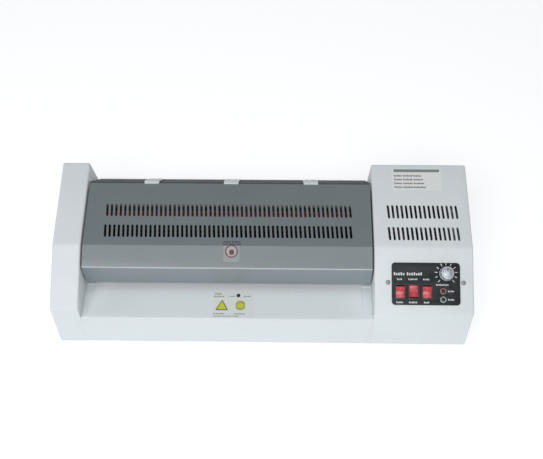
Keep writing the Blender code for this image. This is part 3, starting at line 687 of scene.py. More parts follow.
def slot_cutter(slots, rows, crease, parent):
    """A cutter for rows of slots in the face behind a crease."""
    first, pitch, count = slots
    form = bmesh.new()
    for near, far in rows:
        for i in range(count):
            add_slot(form, first + i * pitch, near - crease[0], far - crease[0])
    bmesh.ops.recalc_face_normals(form, faces=form.faces)
    return place("slots", mesh_of(form, "slots"), None, parent)


def end_cover(node, outer, wall):
    """A folded shell that is open underneath, with three screws in its side."""
    outline = [(0, 0), FRONT_EDGE, CREASE, REAR_BEND, REAR_FOOT]
    form = bmesh.new()
    form.from_mesh(flat_mesh(node, [outline], abs(outer - wall)))
    merge_flat(form)
    underside = [face for face in form.faces if face.normal.y < -0.9]
    bmesh.ops.delete(form, geom=underside, context="FACES_ONLY")
    # Every fold is round, but nearly sharp where the cover meets the front of the table.
    weight = form.edges.layers.float.new("bevel_weight_edge")
    for edge in form.edges:
        ends = [vertex.co for vertex in edge.verts]
        beside_table = all(end.x < GAP and end.z * outer < 0 for end in ends)
        edge[weight] = 0.12 if beside_table else 1
    where = ((outer + wall) / 2, 0, 0)
    cover = place(node + "_shell", mesh_of(form, node), white, body, where, SIDEWAYS)
    bevel(cover, 0.0025, 6).modifiers["bevel"].limit_method = "WEIGHT"
    thicken(cover, COVER_SHEET, -1)
    inside = math.copysign(0.004, outer)
    sides = sorted((wall - inside / 4, wall + inside))
    floor = ((sides[0], 0.0022, -0.001), (sides[1], 0.2218, PAN_TOP + 0.0008))
    cut(cover, boxes("pan_clearance", [floor], None, body))
    for i, depth in enumerate((0.024, 0.113, 0.200), 1):
        side_screw(f"{node}_screw_{i}", cover, outer, depth, node)
    return cover


def side_screw(name, cover, outer, depth, node):
    """A countersunk screw, flush with the side of a cover."""
    height, sink = 0.0085, math.copysign(0.0003, outer)
    turn = SIDEWAYS if outer > 0 else SIDEWAYS_BACK
    hole = ((outer - sink, depth, height), 0.0038, 0.0026)
    cut(cover, cylinders("countersink", [hole], None, body, "X"))
    profile = (
        (0, -0.0002), (0.0032, -0.0003), (0.0036, -0.0006), (0.0028, -0.0016),
        (0.0016, -0.0024), (0.0016, -0.006), (0, -0.006),
    )
    screw = turned(name, profile, bright_steel, body, (outer, depth, height), turn)
    show(cross_recess(screw, 0.0011), node)


def cross_recess(screw, depth):
    """Cuts a cross recess in a screw whose head is at its local origin."""
    arms = []
    for i, (x, y) in enumerate(((0.0019, 0.0004), (0.0004, 0.0019))):
        arm = boxes("arm", [((-x, -y, -depth), (x, y, 0.003 + 0.0001 * i))], None, screw.parent)
        arm.location, arm.rotation_euler = screw.location, screw.rotation_euler
        arms.append(arm)
    return cut(screw, join(*arms))


def pan_screw(name, node, spot, rotation=UPRIGHT):
    """The head of a pan-head screw that sits on a face at this spot."""
    head = rounded(((0, 0.0016), (0.0026, 0.0016), (0.0028, 0), (0, 0)), 0.0004, 3)
    show(turned(name, head, bright_steel, body, spot, rotation), node)


def covers():
    """The two end covers, with every opening that the right one has."""
    left = end_cover("left_end_cover", LEFT_SIDE, LEFT_WALL)
    show(left, "left_end_cover")
    right = end_cover("right_end_cover", RIGHT_SIDE, RIGHT_WALL)
    x, length = RIGHT_WALL + COVER_SHEET / 2, 0.005
    holes = [((x, *IDLER), 0.004, length)]
    for depth in ROLLERS.values():
        holes.append(((x, depth, LOWER_ROLLERS), 0.006, length))
        holes.append(((x, depth, UPPER_ROLLERS + 0.001), 0.007, length))
    cut(right, cylinders("shaft_holes", holes, None, body, "X"))
    cut(right, slot_cutter(WHITE_SLOTS, WHITE_ROWS, CREASE, top_face))
    openings = [around(x, SWITCH_LINE, 0.0066, 0.009, -0.005, 0.005) for _, x, _ in SWITCHES]
    cut(right, boxes("switch_openings", openings, None, control_face))
    holes = [((*KNOB, 0), KNOB_HOLE, 0.01)]
    holes += [((*spot, 0), LAMP_HOLE, 0.01) for spot in LAMPS.values()]
    cut(right, cylinders("panel_holes", holes, None, control_face))
    hole = around(-INLET[0], INLET[1], 0.0116, 0.0091, -0.004, 0.004)
    cut(right, boxes("inlet_hole", [hole], None, back_face))
    show(right, "right_end_cover")


def grey_cover():
    """The vented cover over the rollers, with a notched lip. Its faces take lit and shaded copies of the
    grey paint: a painted highlight on the lip bend, painted shade on the rear bend and a lighter,
    painted-light lip.
    """
    corners = (LIP_END, LIP_BEND, GREY_CREASE, GREY_REAR_BEND, GREY_END)
    ends = (LEFT_WALL + GREY_SIDE_GAP, RIGHT_WALL - GREY_SIDE_GAP)
    path = rounded(corners, (0.0015, 0.003, 0.004), 8)
    cover = sheet("grey_cover_shell", path, ends, GREY_SHEET, grey, body)
    cut(cover, slot_cutter(GREY_SLOTS, GREY_ROWS, GREY_CREASE, grey_face))
    half = (ends[1] - ends[0]) / 2 - LIP_TAB_WIDTH
    outline = [(-half, -0.004), (half, -0.004)]
    for side in (1, -1):
        centre = side * (half - LIP_NOTCH)
        for step in range(9):
            angle = math.pi * step / 8
            outline.append((centre + LIP_NOTCH * math.cos(angle), LIP_NOTCH * math.sin(angle)))
    where = ((ends[0] + ends[1]) / 2, LIP_END[0], LIP_HEIGHT)
    cut(cover, flat("lip_cutter", [outline], 0.008, None, body, where, (math.pi / 2, 0, 0)))
    for paint in (grey_painted_highlight, grey_painted_shade, grey_painted_light_lip):
        cover.data.materials.append(paint)
    painted_highlight_index, painted_shade_index, painted_light_lip_index = 1, 2, 3
    slope_rise, lip_rise = 0.88, 0.02
    for face in cover.data.polygons:
        # Faces that turn back over the rear bend take a much darker grey: painted shade.
        if face.normal.y > 0.03 and face.center.y > GREY_REAR_BEND[0] - 0.004:
            face.material_index = painted_shade_index
        # Faces of the lip bend take a lighter, glossier grey: a painted highlight.
        elif face.center.y < LIP_BEND[0] + 0.002 and lip_rise < face.normal.z < slope_rise:
            face.material_index = painted_highlight_index
        # The lip's front faces take a lighter grey: painted light.
        elif face.normal.y < -0.97:
            face.material_index = painted_light_lip_index
    show(cover, "top_cover")


def cover_clips():
    """Clips over the rear bend of the grey cover, each with two ribs."""
    lift, thickness, half = 0.0020, 0.0016, 0.009
    bend = Vector(GREY_REAR_BEND)
    ahead = (Vector(GREY_CREASE) - bend).normalized()
    down = (Vector(GREY_END) - bend).normalized()
    corner = bend - (ahead + down).normalized() * lift / math.sin(ahead.angle(down) / 2)
    path = rounded((corner + ahead * 0.004, corner, corner + down * 0.045), 0.005, 10)
    raised = rounded((corner + ahead * 0.0032, corner, corner + down * 0.044), 0.005, 10)
    for i, x in enumerate((-0.137, -0.039, 0.059), 1):
        node = f"cover_clip_{i}"
        clip = sheet(node + "_strap", path, (x - half, x + half), thickness, clip_plastic, body)
        show(bevel(clip, 0.0003, 3, 50), node)
        for side in (-0.0045, 0.0045):
            ends = (x + side - 0.0006, x + side + 0.0006)
            rib = sheet(f"{node}_rib", raised, ends, 0.0006, clip_plastic, body, 0.6)
            show(rib, node)


def feed_table():
    """The folded table and fascia, with a pocket at each end, and a paler copy of the white paint on its
    upward faces as painted light.
    """
    ends = (LEFT_WALL + TABLE_GAP, RIGHT_WALL - TABLE_GAP)
    table = sheet("table_sheet", rounded(TABLE_PATH, 0.0025, 8), ends, TABLE_SHEET, white, body)
    for wall, side in ((ends[0], 1), (ends[1], -1)):
        cut(table, pocket_cutter(wall, side))
    # Upward faces take a paler, bluer copy of the white paint: painted light.
    table.data.materials.append(white_painted_light_top)
    for face in table.data.polygons:
        if face.normal.z > 0.9:
            face.material_index = 1
    show(table, "feed_table")


def pocket_cutter(wall, side):
    """A block with drafted sides that reaches from beyond a wall into the table."""
    near, far, past, draft = 0.010, 0.0545, 0.006, 0.0007
    centre = (wall + side * (POCKET_WIDTH - past) / 2, (near + far) / 2)
    width, length = POCKET_WIDTH + past, far - near
    form = bmesh.new()
    loops = []
    for z, grow in ((-POCKET_DEPTH, -draft), (0.0001, draft), (0.003, draft)):
        outline = plaque(centre, width + grow, length + grow, 0.003 + grow / 2)
        loops.append([form.verts.new((*point, z)) for point in outline])
    return place("pocket", mesh_of(loft(form, loops), "pocket"), None, table_face)


def rear_panel():
    ends = (LEFT_WALL + GAP, RIGHT_WALL - GAP)
    panel = sheet("rear_sheet", rounded(REAR_PATH, 0.003, 8), ends, 0.0012, white, body, 1)
    show(panel, "rear_panel")


def base_pan():
    """The tray, with cooling slots under the motor, and the screws that hold the feet."""
    half, near, far = RIGHT_SIDE - 0.0035, 0.0045, 0.2195
    high = PAN_HEIGHT + 0.012
    path = ((-half, high), (-half, PAN_HEIGHT), (half, PAN_HEIGHT), (half, high))
    turn = (0, 0, math.pi / 2)
    pan = sheet("base_tray", rounded(path, 0.002, 6), (near, far), PAN_SHEET, zinc, body, 1, turn)
    form = bmesh.new()
    for depth in (0.085, 0.120):
        for i in range(8):
            add_slot(form, 0.195 + 0.005 * i, depth, depth + 0.024)
    bmesh.ops.recalc_face_normals(form, faces=form.faces)
    show(cut(pan, place("vents", mesh_of(form, "vents"), None, body)), "base_pan")
    for side, x in (("left", -0.225), ("right", 0.225)):
        for end, depth in (("front", 0.026), ("rear", 0.192)):
            foot_and_screw(f"{end}_{side}_foot", x, depth)


def foot_and_screw(node, x, depth):
    """A tapered rubber foot, with the screw that holds it sunk in its hollow underside."""
    top, bottom, recess = 0.0005, -0.007, -0.004
    profile = (
        (0, top), (0.009, top), (0.009, -0.005), (0.008, bottom),
        (0.0048, bottom), (0.0044, recess), (0, recess),
    )
    path = rounded(profile, 0.0004, 3)
    show(turned(node + "_rubber", path, rubber, body, (x, depth, 0), UPRIGHT), node)
    head = (
        (0, 0), (0.0034, -0.0002), (0.0034, -0.0012),
        (0.0015, -0.0013), (0.0015, -0.003), (0, -0.003),
    )
    where = (x, depth, -0.0055)
    screw = turned(node + "_screw", head, bright_steel, body, where, (math.pi, 0, 0))
    show(cross_recess(screw, 0.0009), node)


# ---------------------------------------------------------------- rollers and drive


def rollers():
    """Each roller is a steel shaft, stepped up to a core and grooved for its clip, in a sleeve."""
    right, left = GEAR_PLANE + 0.005 - MIDDLE, LEFT_WALL + 0.0012 - MIDDLE
    half, core, skin, chamfer = 0.165, 0.0095, 0.01335, 0.0003
    groove, groove_start, groove_end = 0.0034, right - 0.0004, right - 0.0009
    shaft = (
        (0, right), (JOURNAL - chamfer, right),
        (JOURNAL, groove_start), (groove, groove_start), (groove, groove_end), (JOURNAL, groove_end),
        (JOURNAL, half), (core, half), (core, -half), (JOURNAL, -half),
        (JOURNAL, left + chamfer), (JOURNAL - chamfer, left), (0, left),
    )
    bore = core + 0.0002
    sleeve = rounded(((skin, half), (skin, -half), (bore, -half), (bore, half)), 0.0002, 3, closed=True)
    for level, height in (("lower", LOWER_ROLLERS), ("upper", UPPER_ROLLERS)):
        for row, depth in ROLLERS.items():
            name, spot = f"{level}_{row}_roller", (MIDDLE, depth, height)
            show(turned(name + "_steel", shaft, bright_steel, body, spot), name + "_shaft")
            cover = turned(name + "_silicone", sleeve, silicone, body, spot, closed=True, steps=72)
            show(cover, name + "_sleeve")


def bushes():
    """Flanged bushes for the lower shafts, pressed into the plates."""
    bore, inner, outer = JOURNAL + 0.0003, 0.0022, -0.003
    profile = (
        (0.007, inner), (0.007, -0.0011), (0.009, -0.0011), (0.009, outer), (bore, outer), (bore, inner),
    )
    profile = rounded(profile, 0.0002, 2, closed=True)
    for row, depth in ROLLERS.items():
        for side, turn in (("left", SIDEWAYS_BACK), ("right", SIDEWAYS)):
            node, spot = f"lower_{row}_{side}_bush", (PLATES[side], depth, LOWER_ROLLERS)
            show(turned(node + "_ring", profile, bronze, body, spot, turn, closed=True), node)


def bearing_blocks():
    """Sliding blocks with chamfers and a sintered ring in the bore, and the springs above them."""
    half_width, half_depth, half_height = 0.004, 0.0097, 0.008
    groove_floor, groove, ring_end = 0.0077, 0.0011, 0.0039
    outer, inner = JOURNAL + 0.0011, JOURNAL + 0.0003
    ring_profile = ((outer, ring_end), (outer, -ring_end), (inner, -ring_end), (inner, ring_end))
    for row, depth in ROLLERS.items():
        for side, x in PLATES.items():
            node, spot = f"upper_{row}_{side}_bearing_block", (x, depth, UPPER_ROLLERS)
            corners = around(0, 0, half_width, half_depth, -half_height, half_height)
            block = boxes(node + "_slider", [corners], nylon, body)
            block.location = spot
            bevel(block, 0.0004, 3)
            settle(block)
            edges = [
                ((x - groove, depth + groove_floor, 0.04), (x + groove, depth + 0.011, 0.08)),
                ((x - groove, depth - 0.011, 0.04), (x + groove, depth - groove_floor, 0.08)),
            ]
            cut(block, boxes("grooves", edges, None, body))
            cut(block, cylinders("bore", [(spot, outer, 0.02)], None, body, "X"))
            show(block, node)
            show(turned(node + "_ring", ring_profile, bronze, body, spot, closed=True), node)
            pressure_spring(f"upper_{row}_{side}_spring", x, depth)


def pressure_spring(node, x, depth):
    """A coil with closed ends, from the top of the sliding block up to its upper seat."""
    wire, radius, turns, steps = 0.0006, 0.0036, 6, 24
    low, high = UPPER_ROLLERS + 0.0083 + wire, WINDOW_HIGH - 0.0003 - wire
    closed = 2.1 * wire
    curve = bpy.data.curves.new(node, "CURVE")
    curve.dimensions = "3D"
    curve.bevel_depth = wire
    curve.bevel_resolution = 3
    curve.use_fill_caps = True
    spline = curve.splines.new("POLY")
    spline.points.add(turns * steps)
    for i, point in enumerate(spline.points):
        turn = i / steps
        middle = min(max((turn - 1) / (turns - 2), 0), 1)
        ends = closed * (min(turn, 1) + max(turn - turns + 1, 0))
        angle = 2 * math.pi * turn
        height = ends + middle * (high - low - 2 * closed)
        point.co = (radius * math.cos(angle), radius * math.sin(angle), height, 1)
    coil = place(node + "_coil", mesh_from(curve), bright_steel, body, (x, depth, low))
    show(coil, node)
    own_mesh(coil)


def gear_outline(teeth, phase):
    """A spur gear whose flanks bulge a little. The phase turns its first tooth from local x."""
    pitch = MODULE * teeth / 2
    # (height from the pitch circle in modules, half the tooth's thickness)
    flank = (
        (-1.25, 0.00145), (-0.6, 0.00125), (0.0, 0.00103),
        (0.45, 0.00078), (0.72, 0.00058), (0.8, 0.00045),
    )
    corners = [(pitch + MODULE * rise, half / (pitch + MODULE * rise)) for rise, half in flank]
    tooth = [(r, -a) for r, a in corners] + [(r, a) for r, a in reversed(corners)]
    points = []
    for i in range(teeth):
        centre = phase + 2 * math.pi * i / teeth
        points += [(r * math.cos(centre + a), r * math.sin(centre + a)) for r, a in tooth]
    return points


def gear(node, depth, height, teeth, phase, bore):
    """A moulded gear: teeth, a recess on each side around the hub, and a bore."""
    spot = (GEAR_PLANE, depth, height)
    made = flat(node + "_moulding", [gear_outline(teeth, phase)], GEAR_WIDTH, nylon, body, spot)
    if teeth == ROLLER_TEETH:
        for side in (-1, 1):
            levels = sorted((side * 0.002, side * 0.006), reverse=True)
            hub, rim = 0.0062, 0.0100
            section = ((rim, levels[0]), (rim, levels[1]), (hub, levels[1]), (hub, levels[0]))
            cut(made, turned("recess", section, None, body, spot, closed=True))
        cut(made, cylinders("bore", [(spot, bore, 0.02)], None, body, "X"))
    else:
        shaft = ((GEAR_PLANE + 0.008, depth, height), bore, 0.010)
        join(made, cylinders("pinion_shaft", [shaft], None, body, "X"))
    show(made, node)


def drive():
    """The gears at the right, each meshed with the next, and the motor."""
    half_tooth = math.pi / ROLLER_TEETH
    for row, depth in ROLLERS.items():
        gear(f"lower_{row}_gear", depth, LOWER_ROLLERS, ROLLER_TEETH, 0, JOURNAL + 0.0002)
        gear(f"upper_{row}_gear", depth, UPPER_ROLLERS, ROLLER_TEETH, half_tooth, JOURNAL + 0.0002)
    gear("idler_gear", *IDLER, ROLLER_TEETH, half_tooth, 0.0028)
    gear("motor_pinion", *PINION, PINION_TEETH, math.pi / PINION_TEETH, 0.0025)
    gear_motor()


def gear_motor():
    """A round gearbox with its motor behind it, a clamp band, terminals and a foot with two screws."""
    node, face = "gear_motor", GEAR_PLANE + GEAR_WIDTH / 2 + 0.0025
    spot = (face, *PINION)
    case, can = 0.014, 0.031
    box_path = ((0.0028, case), (0.025, case), (0.025, 0), (0.0028, 0))
    box_path = rounded(box_path, 0.0008, 3, closed=True)
    show(turned("gearbox_case", box_path, zinc, body, spot, closed=True), node)
    can_path = rounded(((0, can), (0.019, can), (0.019, case - 0.0005), (0, case - 0.0005)), 0.0012, 4)
    show(turned("motor_can", can_path, motor_steel, body, spot), node)
    band = ((0.0193, 0.027), (0.0193, 0.019), (0.0191, 0.019), (0.0191, 0.027))
    show(turned("motor_label", band, label_white, body, spot, closed=True), node)
    head = ((0, 0.0012), (0.0019, 0.0010), (0.0022, 0), (0, 0))
    for i in range(4):
        angle, circle = math.pi * (0.25 + 0.5 * i), 0.0205
        y, z = PINION[0] + circle * math.cos(angle), PINION[1] + circle * math.sin(angle)
        screw = turned(f"gearbox_screw_{i}", head, bright_steel, body, (face, y, z), SIDEWAYS_BACK)
        show(screw, node)
    near, far, floor = PINION[0] - 0.021, PINION[0] + 0.021, PAN_TOP + GAP
    start, floor_top = face + 0.0005, floor + 0.002
    foot = boxes("motor_foot", [((start, near, floor), (face + 0.020, far, floor_top))], zinc, body)
    web = ((start, near, floor + 0.001), (face + 0.0025, far, 0.026))
    join(foot, boxes("motor_web", [web], zinc, body))
    cut(foot, cylinders("web_opening", [(spot, 0.018, 0.02)], None, body, "X"))
    show(bevel(foot, 0.0003, 2), node)
    head = ((0, 0.0018), (0.0022, 0.0014), (0.0028, 0), (0, 0))
    for i, depth in enumerate((near + 0.004, far - 0.004)):
        where = (face + 0.012, depth, floor_top)
        show(turned(f"motor_foot_screw_{i}", head, bright_steel, body, where, UPRIGHT), node)
    tabs = []
    for side in (-0.007, 0.007):
        (x, y, z), half = (face + can + 0.0025, PINION[0] + side, PINION[1]), 0.0004
        tabs.append(around(x, y, 0.0035, 0.0014, z - half, z + half))
    show(boxes("motor_terminals", tabs, copper, body), node)


# ---------------------------------------------------------------- frame, heaters, fan, board


def side_plates():
    """The roller frame's plates: windows for the sliding blocks, spring seats and a foot flange."""
    near, far, foot = 0.067, 0.172, 0.0028
    outline = ((near, foot), (far, foot), (far, 0.086), (0.158, 0.104), (0.072, 0.0985), (near, 0.095))
    edge = rounded(outline, 0.002, 4, closed=True)
    holes = [ring((depth, LOWER_ROLLERS), 0.0073, 40) for depth in ROLLERS.values()]
    holes += [ring(TIE_BAR, 0.0034, 24), ring((IDLER[0], 0.018), 0.004, 24)]
    seat, floor = WINDOW_HIGH + 0.0006, PAN_TOP + GAP
    for side, x in PLATES.items():
        node, inward = side + "_side_plate", 1 if side == "left" else -1
        plate = flat(side + "_plate_blank", [edge, *holes], PLATE, zinc, body, (x, 0, 0))
        windows, folds = [], []
        for depth in ROLLERS.values():
            windows.append(around(x, depth, PLATE, 0.008, WINDOW_LOW, WINDOW_HIGH))
            folds.append(around(x, depth, 0.0042, 0.006, seat, seat + PLATE))
        cut(plate, boxes("windows", windows, None, body))
        flange = sorted((x, x + inward * 0.014))
        folds.append(((flange[0], near + 0.0005, floor), (flange[1], far - 0.0005, floor + PLATE)))
        join(plate, boxes("flange_and_seats", folds, None, body))
        if side == "right":
            end = GEAR_PLANE + GEAR_WIDTH / 2 + 0.0005
            stud = ((x + end) / 2, *IDLER)
            join(plate, cylinders("idler_stud", [(stud, 0.0025, end - x)], None, body, "X"))
        show(plate, node)
        for i, depth in enumerate((0.076, 0.112, 0.163)):
            pan_screw(f"{node}_screw_{i}", node, (x + inward * 0.009, depth, floor + PLATE))


def tie_bar():
    """The bar between the plates, necked at both ends, with a nut outside each plate."""
    inner = (PLATES["right"] - PLATES["left"]) / 2 - PLATE / 2 - GAP
    outer = inner + PLATE + 0.002 + GAP
    half = [(0, outer), (0.003, outer), (0.003, inner), (0.005, inner)]
    profile = half + [(radius, -x) for radius, x in reversed(half)]
    spot = (sum(PLATES.values()) / 2, *TIE_BAR)
    show(turned("tie_bar_steel", rounded(profile, 0.0003, 2), black_steel, body, spot), "frame_tie_bar")


def heater_plates():
    """Two aluminium channels, each with a mica-covered element and three screws."""
    length = PLATES["right"] - PLATES["left"] - PLATE - 2 * GAP
    half, wall, height, mica_sheet = 0.011, 0.002, 0.010, 0.0012
    section = (
        (-half, 0), (half, 0), (half, height), (half - wall, height),
        (half - wall, wall), (wall - half, wall), (wall - half, height), (-half, height),
    )
    x, y = sum(PLATES.values()) / 2, IDLER[0]
    for level, side in (("lower", -1), ("upper", 1)):
        node, base = level + "_heater_plate", FILM + side * 0.0014
        outline = [(a, side * b) for a, b in rounded(section, 0.0005, 3, closed=True)]
        show(flat(level + "_heater_channel", [outline], length, anodised, body, (x, y, base)), node)
        low, high = sorted((base + side * wall, base + side * (wall + mica_sheet)))
        element = boxes(level + "_heater_element", [around(x, y, 0.15, 0.007, low, high)], mica, body)
        show(bevel(element, 0.0003, 2), node)
        turn = UPRIGHT if side > 0 else (math.pi, 0, 0)
        for i, offset in enumerate((-0.14, 0, 0.14)):
            spot = (x + offset, y, base + side * (wall + mica_sheet))
            pan_screw(f"{level}_heater_screw_{i}", node, spot, turn)


def cooling_fan():
    """An axial fan that hangs under the vents of the right cover."""
    size, depth, bore, post = 0.060, 0.015, 0.0285, 0.025
    top = -COVER_SHEET - GAP
    low = top - depth
    x, y = FAN
    holes = [ring((i * post, j * post), 0.0022, 20) for i in (-1, 1) for j in (-1, 1)]
    outlines = [plaque((0, 0), size, size, 0.004), ring((0, 0), bore, 72), *holes]
    case = flat("fan_case", outlines, depth, black, top_face, (x, y, top - depth / 2), UPRIGHT)
    reach, half = bore + 0.0007, 0.0014
    arms = (
        around(x, y, reach, half, low + 0.0001, low + 0.002),
        around(x, y, half, reach, low + 0.0002, low + 0.0021),
    )
    for arm in arms:
        join(case, boxes("fan_arm", [arm], None, top_face))
    plate, pin = ((x, y, low + 0.00155), 0.012, 0.0025), ((x, y, low + 0.006), 0.0015, 0.009)
    join(case, cylinders("fan_hub_plate", [plate], None, top_face, sides=48))
    join(case, cylinders("fan_pin", [pin], None, top_face))
    show(case, "fan_frame")
    fan_rotor((x, y, low + 0.0034), depth - 0.005)


def fan_rotor(spot, height):
    """A hub with a blind bore, seven blades, and a dark disc on top."""
    hub, blades = 0.011, 7
    profile = (
        (0, height), (hub, height), (hub, 0),
        (0.0019, 0), (0.0019, height - 0.0015), (0, height - 0.0015),
    )
    rotor = turned("fan_wheel", rounded(profile, 0.0006, 4), black, top_face, spot, UPRIGHT)
    for i in range(blades):
        form = fan_blade(hub, height / 2, 2 * math.pi * i / blades)
        join(rotor, place("blade", mesh_of(form, "blade"), black, top_face, spot))
    show(rotor, "fan_rotor")
    x, y, low = spot
    disc = [ring((x, y), 0.008, 48)]
    where = (0, 0, low + height + 0.0001)
    show(flat("fan_label", disc, 0.0001, dark_ink, top_face, where, UPRIGHT), "fan_rotor")


def fan_blade(hub, middle, bearing):
    """A twisted, swept blade, lofted from the hub to its tip."""
    span, steps, half_thickness = 0.0166, 6, 0.0005
    form = bmesh.new()
    loops = []
    for step in range(steps + 1):
        radius = hub - 0.0008 + span * step / steps
        lean, sweep = math.radians(52 - 3 * step), 0.05 * step / steps
        turn = Matrix.Rotation(bearing + sweep, 4, "Z") @ Matrix.Translation((radius, 0, middle))
        turn = turn @ Matrix.Rotation(lean, 4, "X")
        half = 0.0047 - 0.0003 * abs(step - 3)
        side = [(half_thickness, -half / 2), (half_thickness, half / 2)]
        edge = [(0, -half), *side, (0, half), *((-a, b) for a, b in reversed(side))]
        loops.append([form.verts.new(turn @ Vector((0, a, b))) for a, b in edge])
    return loft(form, loops)


def circuit_board():
    """The control board on posts: transformer, relay, connector, capacitors, chip and small parts."""
    node, level, top = "circuit_board", 0.010, 0.0116
    posts = [(x, y) for y in (0.019, 0.059) for x in (0.155, 0.227)]
    outlines = [plaque((0.191, 0.039), 0.082, 0.050, 0.001, 4)]
    outlines += [ring(spot, 0.0016, 16) for spot in posts]
    middle = (0, 0, (level + top) / 2)
    show(flat("board_laminate", outlines, top - level, pcb, body, middle, UPRIGHT), node)
    high, low = level - 0.00005, PAN_TOP + GAP
    for i, spot in enumerate(posts):
        post = ((0, high), (0.0028, high), (0.0028, low), (0, low))
        show(turned(f"board_post_{i}", post, nylon, body, (*spot, 0), UPRIGHT), node)
        pan_screw(f"board_screw_{i}", node, (*spot, top))
    core = around(0.170, 0.037, 0.012, 0.007, top, top + 0.022)
    coil = around(0.170, 0.037, 0.009, 0.012, top + 0.003, top + 0.018)
    terminals = around(0.2175, 0.0285, 0.0065, 0.0045, top, top + 0.009)
    clips = [around(x, 0.057, 0.0015, 0.0025, top, top + 0.005) for x in (0.1645, 0.1785)]
    legs = [around(0.1872 + 0.0022 * i, 0.056, 0.0004, 0.0038, top, top + 0.0007) for i in range(4)]
    blocks = (
        ("transformer_core", 0.0015, core_steel, [core]),
        ("transformer_coil", 0.002, tape, [coil]),
        ("relay", 0.0006, relay_blue, [around(0.1995, 0.026, 0.0075, 0.006, top, top + 0.014)]),
        ("connector", 0.0004, nylon, [around(0.21725, 0.051, 0.00525, 0.005, top, top + 0.008)]),
        ("chip", 0.0002, black, [around(0.191, 0.056, 0.005, 0.003, top + 0.0006, top + 0.0034)]),
        ("terminal_block", 0.0004, relay_blue, [terminals]),
        ("fuse_clips", 0.0002, bright_steel, clips),
        ("chip_legs", 0.00005, bright_steel, legs),
    )
    for name, width, paint, corners in blocks:
        show(bevel(boxes(name, corners, paint, body), width, 2), node)
    fuse = ((0.1715, 0.057, top + 0.0032), 0.0024, 0.018)
    show(cylinders("fuse", [fuse], fuse_glass, body, "X"), node)
    cans = ((0.200, 0.048, 0.005, 0.0165), (0.2045, 0.0385, 0.003, 0.010), (0.189, 0.044, 0.0025, 0.008))
    for i, (x, y, radius, tall) in enumerate(cans):
        can = rounded(((0, top + tall), (radius, top + tall), (radius, top), (0, top)), 0.0005, 3)
        show(turned(f"capacitor_{i}", can, sleeve_dark, body, (x, y, 0), UPRIGHT), node)
    resistors = [((0.2015 + 0.004 * i, 0.0565, top + 0.0014), 0.0011, 0.0062) for i in range(2)]
    show(cylinders("resistors", resistors, tape, body, "X", 16), node)


# ---------------------------------------------------------------- control panel


def panel_plate():
    """The black plate, with openings for the switches, the knob and the lamps."""
    edge = plaque(PANEL_CENTRE, *PANEL_SIZE, 0.004, 8)
    holes = [rectangle((x, SWITCH_LINE), 0.0132, 0.0180) for _, x, _ in SWITCHES]
    holes.append(ring(KNOB, KNOB_HOLE, 32))
    holes += [ring(spot, LAMP_HOLE, 24) for spot in LAMPS.values()]
    where, thickness = (0, 0, (PANEL_LOW + PANEL_TOP) / 2), PANEL_TOP - PANEL_LOW
    plate = flat("panel_plate", [edge, *holes], thickness, panel_black, control_face, where, UPRIGHT)
    show(bevel(plate, 0.0003, 2, 60), "control_panel")


def bars(x, y, groups, height):
    """A row of small bars where words would be, from a start point. Groups are counts of bars."""
    marks = []
    for count in groups:
        for i in range(count):
            tall = height * (1, 0.72, 0.86)[i % 3]
            marks.append(rectangle((x, y + tall / 2), 0.5 * height, tall))
            x += 0.78 * height
        x += 0.6 * height
    return marks


def ink(name, outlines, paint, face, node, level=0.0):
    """A thin print this far above a face."""
    thickness, lift = 0.0001, 0.00006
    show(flat(name, outlines, thickness, paint, face, (0, 0, level + lift), UPRIGHT), node)


def panel_print():
    """White print: the dial's ticks and a row of small bars for each label."""
    marks = bars(0.1568, 0.0450, (5, 7), 0.0034)
    count, first, sweep = 11, 225, 270
    inner, outer, half_width = 0.0103, 0.0136, 0.00042
    for i in range(count):
        angle = math.radians(first - sweep * i / (count - 1))
        along = Vector((math.cos(angle), math.sin(angle)))
        across = Vector((-along.y, along.x)) * half_width
        start, end = Vector(KNOB) + along * inner, Vector(KNOB) + along * outer
        marks.append([start - across, end - across, end + across, start + across])
    for (_, x, _), above, below in zip(SWITCHES, (4, 7, 5), (5, 6, 4)):
        marks += bars(x - 0.00078 * above, 0.0393, (above,), 0.0020)
        marks += bars(x - 0.00082 * below, 0.0121, (below,), 0.0021)
    marks += bars(0.2058, 0.0330, (10,), 0.0019)
    for x, y in LAMPS.values():
        marks += bars(x + 0.0062, y - 0.0009, (5,), 0.0019)
    ink("panel_print", marks, white_ink, control_face, "control_panel", PANEL_TOP)


def panel_screws():
    """Domed screws in the cover, one at each side of the panel."""
    up_slope, rise = 0.0365, 0.0017
    head = ((0, 0), (0.0016, -0.0002), (0.0026, -0.0008), (0.0028, -0.0014), (0, -0.0014))
    for side, x in (("left", 0.1492), ("right", 0.2376)):
        spot = (x, up_slope, rise)
        screw = turned(f"panel_screw_{side}", head, dull_steel, control_face, spot, UPRIGHT)
        show(cross_recess(screw, 0.0009), "right_end_cover")


def rocker_switches():
    """Each rocker's top is dished, and the cap is tilted about the pivot of its joint."""
    half, low, steps = 0.0068, 0.0005, 14
    top = []
    for i in range(steps + 1):
        share = 2 * i / steps - 1
        top.append((half * share, 0.0032 + 0.0013 * abs(share) ** 1.6))
    outline = top + [(half, low), (0.0042, -0.0025), (-0.0042, -0.0025), (-half, low)]
    across = Matrix(((0, 0, 1), (1, 0, 0), (0, 1, 0)))
    for name, x, side in SWITCHES:
        switch_frame(name, x)
        spot, node = (x, SWITCH_LINE, -0.0005), name + "_rocker"
        turn = Matrix.Rotation(side * SWITCH_TILT, 3, "X") @ across
        form = bmesh.new()
        form.from_mesh(flat_mesh(node, [outline[::-1]], 0.0103))
        merge_flat(form)
        cap = place(node + "_cap", mesh_of(form, node), red_lens, control_face, spot, turn.to_euler())
        show(bevel(cap, 0.0005, 3, 35), node)
        rocker_marks(node, spot, side)


